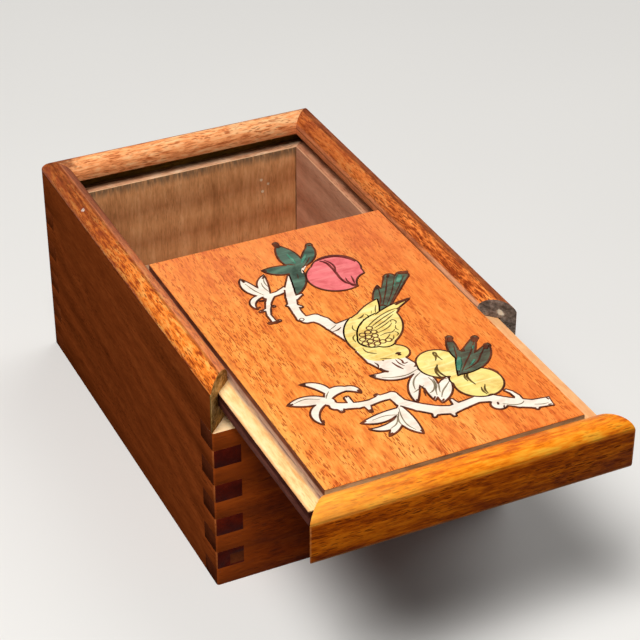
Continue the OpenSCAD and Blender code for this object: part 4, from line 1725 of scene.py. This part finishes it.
FRUIT_LINES = (
    Stroke(((20.2, -30.6), (21.4, -28.4), (21.7, -25.8), (22.3, -25.2), (22.3, -28.0), (22.8, -31.4)), 0.72),
    Stroke(((19.6, -33.4), (17.3, -36.0), (16.4, -39.4), (17.0, -42.2)), 0.85),
    Stroke(((19.4, -33.2), (17.9, -36.4), (17.9, -39.6), (19.2, -43.4)), 0.85),
    Stroke(((28.4, -42.6), (26.2, -45.0), (25.8, -48.0), (26.4, -51.6)), 0.85),
    Stroke(((26.4, -42.8), (24.9, -45.6), (24.8, -48.4)), 0.78),
    Stroke(((29.6, -53.0), (28.0, -56.0), (27.8, -59.0)), 0.78),
    Stroke(((27.4, -54.0), (26.8, -56.6), (27.2, -59.2)), 0.78),
    Stroke(((13.6, -40.4), (16.6, -42.4), (18.4, -43.4)), 0.65),
)
FRUIT_LEAF_LINES = (
    Stroke(((24.6, -41.8), (27.4, -35.6), (31.6, -24.4)), 0.7),
    Stroke(((26.0, -41.4), (30.0, -37.0), (36.0, -30.6), (40.6, -24.6)), 0.6),
    Stroke(((27.4, -41.2), (34.0, -38.6), (39.0, -33.6), (42.8, -30.0)), 0.7),
    Stroke(((33.2, -18.4), (31.6, -21.6)), 2.5, 0.75),
    Stroke(((42.1, -22.7), (40.0, -25.2)), 2.3, 0.7),
    Stroke(((43.9, -29.4), (41.6, -31.8)), 2.3, 0.7),
    Stroke(((33.0, -29.6), (33.6, -28.0)), 1.6, 0.8),
    Stroke(((36.4, -43.6), (37.9, -47.4), (38.0, -50.6)), 0.9),
    Stroke(((26.8, -60.2), (28.2, -60.0), (29.6, -60.1)), 1.1),
)
LEAF_GLEAMS = (
    Stroke(((24.9, -40.4), (27.4, -36.4), (29.6, -32.4)), 2.3, 0.6),
    Stroke(((37.2, -29.4), (38.6, -27.6)), 1.3, 0.5),
    Stroke(((31.0, -39.2), (34.4, -36.4)), 1.6, 0.5),
    Stroke(((33.6, 27.6), (35.4, 29.8), (37.0, 32.2)), 2.4, 0.6),
    Stroke(((30.6, 25.4), (32.4, 27.6)), 1.0, 0.5),
    Stroke(((4.0, 58.6), (6.4, 61.4), (8.6, 64.2)), 1.4, 0.5),
    Stroke(((1.6, 59.6), (1.8, 63.6), (1.4, 67.6)), 1.3, 0.5),
)
SPRIG_LINES = (
    Stroke(((4.2, -24.4), (5.2, -28.0), (6.2, -30.4)), 0.9),
    Stroke(((6.4, -23.2), (6.6, -26.4), (7.6, -28.6)), 0.6),
    Stroke(((7.6, -22.8), (8.4, -25.0), (8.2, -26.8), (10.0, -26.8)), 0.7),
    Stroke(((-2.0, -21.6), (-1.5, -23.6), (-2.2, -25.6)), 0.7),
    Stroke(((-1.9, -26.0), (-1.3, -28.2), (0.2, -29.6)), 1.5, 0.7),
    Stroke(((7.4, -45.0), (6.4, -47.4), (5.6, -50.0)), 0.8),
    Stroke(((-7.0, -29.0), (-5.6, -30.2)), 1.8, 0.5),
    Stroke(((0.6, -52.4), (1.4, -50.6)), 1.2, 0.5),
    Stroke(((7.4, -53.2), (8.6, -52.0)), 1.4, 0.5),
    Stroke(((9.5, -56.0), (10.8, -54.8)), 1.4, 0.5),
    Stroke(((-24.3, 57.0), (-24.0, 54.4)), 1.8, 0.5),
    Stroke(((-14.5, 55.8), (-16.0, 54.0)), 1.6, 0.5),
    Stroke(((-27.0, 33.9), (-25.8, 34.6)), 1.2, 0.7),
    Stroke(((-24.4, 38.8), (-22.6, 38.4), (-20.8, 39.2)), 1.3, 0.6),
    Stroke(((-27.2, 21.9), (-25.0, 21.5), (-22.8, 21.8)), 1.4, 0.8),
    Stroke(((-26.9, 31.2), (-25.4, 31.4)), 1.2, 0.6),
    Stroke(((-20.5, 32.6), (-21.4, 33.6)), 1.0, 0.6),
    Stroke(((-34.4, -23.2), (-32.6, -23.8)), 1.9, 0.5),
    Stroke(((-44.4, -33.4), (-42.4, -33.6)), 1.9, 0.5),
    Stroke(((-16.0, -37.2), (-15.9, -35.4)), 1.9, 0.6),
    Stroke(((-37.1, -49.6), (-36.5, -47.8)), 1.4, 0.5),
    Stroke(((-24.4, -55.4), (-22.4, -55.2)), 1.6, 0.5),
    Stroke(((-23.2, -60.2), (-22.4, -61.8)), 1.2, 0.6),
    Stroke(((-18.4, -66.6), (-16.6, -66.0)), 1.3, 0.6),
    Stroke(((-6.3, -70.8), (-6.5, -68.8)), 1.5, 0.5),
)
BRANCH_LINES = (
    ring(-14.4, 18.7, 0.9),
    Stroke(((27.5, -67.0), (27.9, -66.2), (28.1, -65.4)), 0.8, 0.8),
    Stroke(((29.5, -68.0), (28.8, -69.2), (28.6, -70.0)), 0.6),
    Stroke(((-7.2, 5.2), (-4.6, 5.6), (-2.6, 6.8)), 0.7),
    Stroke(((-22.5, -37.7), (-21.9, -37.7)), 1.4, 0.8),
    Stroke(((-11.5, -41.6), (-10.9, -41.6)), 1.3, 0.8),
    Stroke(((-17.8, -50.4), (-17.6, -49.0)), 1.1, 0.7),
    Stroke(((-27.8, -45.5), (-27.4, -45.3)), 1.2, 0.8),
    Stroke(((46.3, -70.6), (46.6, -72.2)), 0.9, 0.7),
    Stroke(((46.0, -75.2), (44.6, -75.0)), 0.9, 0.6),
)
WHITE_VEINS = (
    Stroke(((-7.4, 7.0), (-5.2, 8.2), (-3.6, 9.2)), 0.5),
    Stroke(((-4.2, 0.6), (-3.2, 3.0), (-1.8, 5.6)), 0.5),
    Stroke(((-24.2, 53.4), (-22.6, 46.4), (-20.6, 42.0)), 0.5),
    Stroke(((-17.4, 42.4), (-18.3, 48.0), (-17.8, 51.4)), 0.5),
    Stroke(((-16.3, 45.4), (-16.5, 51.0), (-15.6, 53.8)), 0.5),
    Stroke(((-42.0, -33.4), (-37.0, -32.6), (-32.0, -35.0)), 0.45),
    Stroke(((-26.6, -31.6), (-28.6, -34.0), (-29.6, -35.6)), 0.5),
    Stroke(((-10.2, -56.4), (-14.0, -55.2), (-20.0, -55.6)), 0.45),
    Stroke(((-9.8, -56.2), (-12.6, -58.8), (-14.4, -59.6)), 0.55),
    Stroke(((-10.4, -57.4), (-12.8, -61.4), (-16.4, -63.4)), 0.55),
    Stroke(((-8.6, -55.0), (-11.2, -60.0), (-11.4, -63.4)), 0.6),
    Stroke(((-7.4, -52.6), (-9.2, -59.0), (-9.4, -64.0), (-8.0, -68.0)), 0.45),
    Stroke(((-4.0, -32.0), (1.0, -34.0), (6.0, -34.4), (11.2, -32.6)), 0.5),
    Stroke(((11.0, -35.2), (7.4, -37.6), (5.0, -41.0), (3.8, -44.8)), 0.6),
    Stroke(((2.4, -46.2), (4.4, -45.4), (6.2, -44.6), (8.0, -43.8)), 0.55),
    Stroke(((12.2, -39.6), (12.5, -43.0), (11.4, -46.2), (9.4, -48.4), (7.6, -49.2)), 0.6),
    Stroke(((13.3, -41.2), (12.6, -45.4), (10.8, -48.4), (9.6, -51.6)), 0.55),
    Stroke(((17.2, -43.2), (14.6, -44.0), (12.8, -47.2), (11.6, -50.4)), 0.6),
    Stroke(((18.4, -45.2), (15.4, -47.8), (12.8, -50.2), (10.6, -53.4)), 0.6),
    Stroke(((29.4, -67.0), (33.0, -69.6), (36.0, -70.0), (37.6, -69.0)), 0.5),
    Stroke(((40.0, -72.6), (43.0, -73.8), (45.4, -74.0)), 0.45),
)
BIRD_EYE = (Stroke(((9.1, -20.5), (9.4, -20.1), (9.7, -20.5)), 2.2, 0.9),)
PEACH_GLEAM = (Stroke(((1.0, 51.0), (2.5, 53.8), (4.9, 56.0)), 1.3, 0.4),)


@dataclass
class Picture:
    """The inlaid picture: stone pieces, a dark line round each, and the drawn lines on them.

    Attributes:
        middle: Middle of the field along the lid.
        top: Top of the inlaid pieces.
        outline: Half width of the line round each piece.
        outline_deep: Depth of that line, as a share of its half width.
        outline_sunk: How far its middle lies below the pieces' tops.
        flat: Height of a drawn line, as a share of its half width.
        joined: Distance within which an edge counts as shared with a neighbour.
        merged: Distance within which the corners of a solid's loose faces are merged.
        scale: Radius of the scales on the bird's shoulder.
        scale_line: Width of the line round them.
        pen: Half width of a drawn line of width 1.
        tube_steps: Roundness of the lines.
        curve_steps: Points from one point of a drawn line to the next.
        STONES: Slots and solids of the inlaid pieces, by their finish.
        FAMILIES: Pieces that meet without a line between them.
        DRAWN: Slots, finishes and strokes of the drawn lines, by their name.
    """

    middle: float = -43.15
    top: float = 95.8
    outline: float = 0.58
    outline_deep: float = 0.7
    outline_sunk: float = 0.24
    flat: float = 0.2
    joined: float = 0.12
    merged: float = 0.002
    scale: float = 1.25
    scale_line: float = 0.5
    pen: float = 0.6
    tube_steps: int = 1
    curve_steps: int = 6

    STONES: ClassVar[dict[Stone, tuple[str, tuple[str, ...]]]] = {
        WHITE: (
            "white_inlay",
            ("upper_branch", "upper_sprig", "bird_sprig", "lower_branch", "left_sprig", "low_sprig"),
        ),
        PINK: ("pink_inlay", ("peach",)),
        GREEN: ("green_inlay", ("peach_leaves",)),
        DUSKY: ("green_inlay", ("bird_tail", "fruit_leaves")),
        YELLOW: ("yellow_inlay", ("bird_body", "bird_wing", "fruit_upper", "fruit_lower")),
    }
    FAMILIES: ClassVar[tuple[tuple[str, ...], ...]] = (
        ("upper_branch", "upper_sprig"),
        ("lower_branch", "left_sprig", "low_sprig", "bird_sprig", "bird_body"),
        ("fruit_upper", "fruit_lower"),
    )
    DRAWN: ClassVar[dict[str, tuple[str, Finish, tuple[Stroke, ...]]]] = {
        "peach_lines": ("pink_inlay", MAROON, PEACH_LINES),
        "leaf_gleams": ("green_inlay", TEAL, LEAF_GLEAMS),
        "leaf_lines": ("green_inlay", LINES, LEAF_LINES),
        "tail_lines": ("green_inlay", LINES, TAIL_LINES),
        "body_lines": ("yellow_inlay", OLIVE, BODY_LINES),
        "wing_lines": ("yellow_inlay", OLIVE, WING_LINES),
        "spike_lines": ("yellow_inlay", LINES, SPIKE_LINES),
        "fruit_lines": ("yellow_inlay", OLIVE, FRUIT_LINES),
        "fruit_leaf_lines": ("green_inlay", LINES, FRUIT_LEAF_LINES),
        "sprig_lines": ("white_inlay", LINES, SPRIG_LINES),
        "branch_lines": ("white_inlay", LINES, BRANCH_LINES),
        "white_veins": ("white_inlay", VEINS, WHITE_VEINS),
        "bird_eye": ("yellow_inlay", LINES, BIRD_EYE),
        "peach_gleam": ("white_inlay", WHITE, PEACH_GLEAM),
    }

    def kin(self, node: str) -> list[Piece]:
        """Returns the neighbours that a piece meets without a line between."""
        names = {name for family in self.FAMILIES if node in family for name in family}
        return [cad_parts[name] for name in sorted(names - {node})]

    def outline_of(self, node: str) -> Piece:
        """Lays a dark line round an inlaid piece, except where it meets its kin.

        Args:
            node: Solid of the inlaid piece.

        Returns:
            The line, as a tube half sunk at the joint.
        """
        Bench.take(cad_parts[node])
        bpy.ops.object.duplicate()
        line = bpy.context.object
        line.parent = None
        for key in list(line.keys()):
            del line[key]
        line.name = f"{node}_outline"
        line.data.materials.clear()
        neighbours = self.kin(node)

        def shared(place: Vector, _way: Vector) -> bool:
            """Tells whether an edge is shared with a neighbour."""
            spots = (other.closest_point_on_mesh(place * MM)[1] / MM for other in neighbours)
            return any((spot - place).length < self.joined for spot in spots)

        with Bench.editing(line):
            bpy.ops.mesh.select_all(action="SELECT")
            bpy.ops.mesh.remove_doubles(threshold=self.merged * MM)
            Bench.pick(line, Pick.FACES, lambda p, n: n.z < SQUARE or p.z < self.top - NEAR)
            bpy.ops.mesh.delete(type="FACE")
            bpy.ops.mesh.select_all(action="SELECT")
            bpy.ops.mesh.region_to_loop()
            bpy.ops.mesh.select_all(action="INVERT")
            bpy.ops.mesh.delete(type="EDGE_FACE")
            Bench.pick(line, Pick.EDGES, shared)
            bpy.ops.mesh.delete(type="EDGE")
        self.to_tube(line, self.outline)
        self.flatten(line, self.outline_deep, self.top, self.outline_sunk)
        return line

    def swell(self, curve: bpy.types.Curve, radius: float) -> None:
        """Gives a curve a round section, closed at its ends.

        Args:
            curve: Curve of a line.
            radius: Radius of the section.
        """
        curve.bevel_depth = radius * MM
        curve.bevel_resolution = self.tube_steps
        curve.use_fill_caps = True

    def to_tube(self, line: Piece, radius: float) -> None:
        """Turns loops and runs of edges into tubes.

        Args:
            line: Mesh of bare edges.
            radius: Radius of the tubes.
        """
        Bench.take(line)
        bpy.ops.object.convert(target="CURVE")
        self.swell(line.data, radius)
        bpy.ops.object.convert(target="MESH")

    def flatten(self, line: Piece, share: float, level: float, sunk: float = 0.0) -> None:
        """Presses a tube flat about a level and lowers it.

        Args:
            line: Tube.
            share: Height left, as a share of the tube's own.
            level: Height of its middle.
            sunk: How far it is lowered.
        """
        with Bench.editing(line):
            bpy.ops.mesh.select_all(action="SELECT")
            bpy.ops.transform.resize(value=(1, 1, share), center_override=(0, 0, level * MM))
            bpy.ops.transform.translate(value=(0, 0, -sunk * MM))
            bpy.ops.mesh.normals_make_consistent(inside=False)
        Bench.take(line)
        bpy.ops.object.shade_smooth()

    def draw(self, name: str, strokes: Sequence[Stroke], level: float) -> Piece:
        """Draws strokes over the picture as one piece of flattened, tapering tubes.

        Args:
            name: Name of the piece.
            strokes: Lines to draw.
            level: Height that they lie at.

        Returns:
            The drawn lines.
        """
        curve = bpy.data.curves.new(name, "CURVE")
        curve.dimensions = "3D"
        curve.resolution_u = self.curve_steps
        self.swell(curve, self.pen)
        for stroke in strokes:
            spline = curve.splines.new("BEZIER")
            spline.bezier_points.add(len(stroke.points) - 1)
            for index, (point, (x, y)) in enumerate(zip(spline.bezier_points, stroke.points)):
                point.co = (x * MM, (y + self.middle) * MM, level * MM)
                point.handle_left_type = point.handle_right_type = "AUTO"
                at_end = index in (0, len(stroke.points) - 1)
                point.radius = stroke.width * (stroke.taper if at_end else 1.0)
        line = bpy.data.objects.new(name, curve)
        bpy.context.scene.collection.objects.link(line)
        Bench.take(line)
        bpy.ops.object.convert(target="MESH")
        self.flatten(line, self.flat, level)
        return line

    def build(self) -> None:
        """Dresses the stones and lays every line."""
        for finish, (slot, nodes) in self.STONES.items():
            for node in nodes:
                dress(node, finish)
                line = self.outline_of(node)
                Bench.paint(line, LINES)
                seat(line, Body.LID, slot)
        scales = tuple(ring(x, y, self.scale, self.scale_line) for x, y in SCALE_CELLS)
        drawn = self.DRAWN | {"wing_scales": ("yellow_inlay", LINES, scales)}
        for name, (slot, finish, strokes) in drawn.items():
            line = self.draw(name, strokes, self.top)
            Bench.paint(line, finish)
            seat(line, Body.LID, slot)


@dataclass
class Studio:
    """Pale floor, soft light and the camera, in metres.

    Attributes:
        eye: Place of the camera.
        aim: Point in the middle of its view.
        lens: Focal length, in millimetres.
        sensor: Width of the sensor, in millimetres.
        clip_start: Distance from which the camera sees.
        floor_radius: Radius of the floor.
        floor_sides: Sides of its outline.
        floor_border: Width of its border.
        floor_pale: Two close colours that the floor shows.
        floor_shade: Colour that it throws back on the box.
        floor_rough: Its roughness.
        floor_gloss: Strength of its reflections.
        plain_from: Distance from the middle where the floor starts to turn plain.
        plain_at: Distance where it is plain.
        plain: Colour that it turns to.
        sky_shown: Colour behind the floor.
        sky_light: Colour of the soft light all round.
        sky_strength: Strength of that light.
        lamps: Name, place, side and power in watts of each lamp.
    """

    eye: Point = (-0.29845, -0.63869, 0.53158)
    aim: Point = (0.00844, 0.00656, 0.07117)
    lens: float = 112.44
    sensor: float = 36.0
    clip_start: float = 0.01
    floor_radius: float = 4.0
    floor_sides: int = 96
    floor_border: float = 0.3
    floor_pale: tuple[Colour, Colour] = (tone(226, 224, 220), tone(234, 232, 228))
    floor_shade: Colour = tone(88, 74, 62)
    floor_rough: float = 0.9
    floor_gloss: float = 0.1
    plain_from: float = 0.35
    plain_at: float = 1.1
    plain: Colour = tone(228, 226, 222)
    sky_shown: Colour = tone(232, 232, 230)
    sky_light: Colour = tone(250, 248, 246)
    sky_strength: float = 0.11
    lamps: tuple[tuple[str, Point, float, float], ...] = (
        ("key", (-0.65, -0.5, 1.65), 0.8, 33.0),
        ("fill", (0.9, 0.6, 1.6), 1.2, 9.0),
    )

    @staticmethod
    def seen(sheet: Sheet) -> Socket:
        """Tells the rays that show a surface from those that it lights with.

        Args:
            sheet: Sheet of the material or the world.

        Returns:
            1 for rays from the camera, a reflection or a clear piece, and 0 for bounced light.
        """
        ray = sheet.add("ShaderNodeLightPath").outputs
        mirrored = sheet.larger(ray["Is Glossy Ray"], ray["Is Transmission Ray"])
        return sheet.larger(ray["Is Camera Ray"], mirrored)

    def floor(self) -> None:
        """Lays a pale floor that keeps the box's shadow and turns plain far away from it."""
        Bench.take()
        sides, radius = self.floor_sides, self.floor_radius
        bpy.ops.mesh.primitive_circle_add(vertices=sides, radius=radius, fill_type="NGON")
        floor = bpy.context.object
        floor.name = "floor"
        with Bench.editing(floor):
            bpy.ops.mesh.select_all(action="SELECT")
            bpy.ops.mesh.inset(thickness=self.floor_border)
        made = bpy.data.materials.new("pale_floor")
        made.use_nodes = True
        sheet = Sheet(made.node_tree)
        shader = made.node_tree.nodes["Principled BSDF"]
        place = sheet.add("ShaderNodeTexCoord").outputs["Object"]
        cloud = sheet.noise(sheet.stretch(place, across=3, along=3))
        pale = sheet.blend(cloud, *self.floor_pale)
        sheet.join(sheet.blend(self.seen(sheet), self.floor_shade, pale), shader.inputs["Base Color"])
        shader.inputs["Roughness"].default_value = self.floor_rough
        shader.inputs["Specular IOR Level"].default_value = self.floor_gloss
        away = sheet.add("ShaderNodeVectorMath", {0: place}, operation="LENGTH").outputs["Value"]
        share = sheet.times(sheet.spread(away, self.plain_from, self.plain_at), self.seen(sheet))
        shown = sheet.add("ShaderNodeEmission", {"Color": self.plain, "Strength": 1.0})
        mixed = sheet.add("ShaderNodeMixShader", {0: share, 1: shader.outputs[0], 2: shown.outputs[0]})
        sheet.join(mixed.outputs[0], made.node_tree.nodes["Material Output"].inputs["Surface"])
        floor.data.materials.append(made)

    def towards_aim(self, place: Point) -> Euler:
        """Returns the turn that points a lamp or a camera at the aim from a place."""
        return (Vector(self.aim) - Vector(place)).to_track_quat("-Z", "Y").to_euler()

    def lamp(self, name: str, place: Point, size: float, power: float) -> None:
        """Hangs a square soft light that faces the box.

        Args:
            name: Name of the lamp.
            place: Its place.
            size: Its side.
            power: Its power, in watts.
        """
        Bench.take()
        bpy.ops.object.light_add(type="AREA", location=place, rotation=self.towards_aim(place))
        lamp = bpy.context.object
        lamp.name = name
        lamp.data.size = size
        lamp.data.energy = power

    def sky(self) -> None:
        """Sets a pale sky that lights softly and shows pale behind the box."""
        world = bpy.data.worlds.new("studio")
        bpy.context.scene.world = world
        world.use_nodes = True
        sheet = Sheet(world.node_tree)
        shown = sheet.add("ShaderNodeBackground", {"Color": self.sky_shown, "Strength": 1.0}).outputs[0]
        light = {"Color": self.sky_light, "Strength": self.sky_strength}
        lights = sheet.add("ShaderNodeBackground", light).outputs[0]
        mixed = sheet.add("ShaderNodeMixShader", {0: self.seen(sheet), 1: lights, 2: shown})
        sheet.join(mixed.outputs[0], world.node_tree.nodes["World Output"].inputs["Surface"])

    def camera(self) -> None:
        """Places the camera at the photograph's viewing angle."""
        Bench.take()
        bpy.ops.object.camera_add(location=self.eye, rotation=self.towards_aim(self.eye))
        camera = bpy.context.object
        camera.data.sensor_width = self.sensor
        camera.data.lens = self.lens
        camera.data.clip_start = self.clip_start
        bpy.context.scene.camera = camera

    def build(self) -> None:
        """Sets up the floor, the lights, the sky and the camera."""
        bpy.context.scene.view_settings.view_transform = "Standard"
        self.floor()
        for name, place, size, power in self.lamps:
            self.lamp(name, place, size, power)
        self.sky()
        self.camera()


def main() -> None:
    """Builds the box, the lid, the picture and the studio."""
    logging.basicConfig(level=logging.INFO, format="%(name)s: %(message)s")
    Studio().build()
    Carcass().build()
    Lid().build()
    Picture().build()


if __name__ == "__main__":
    main()
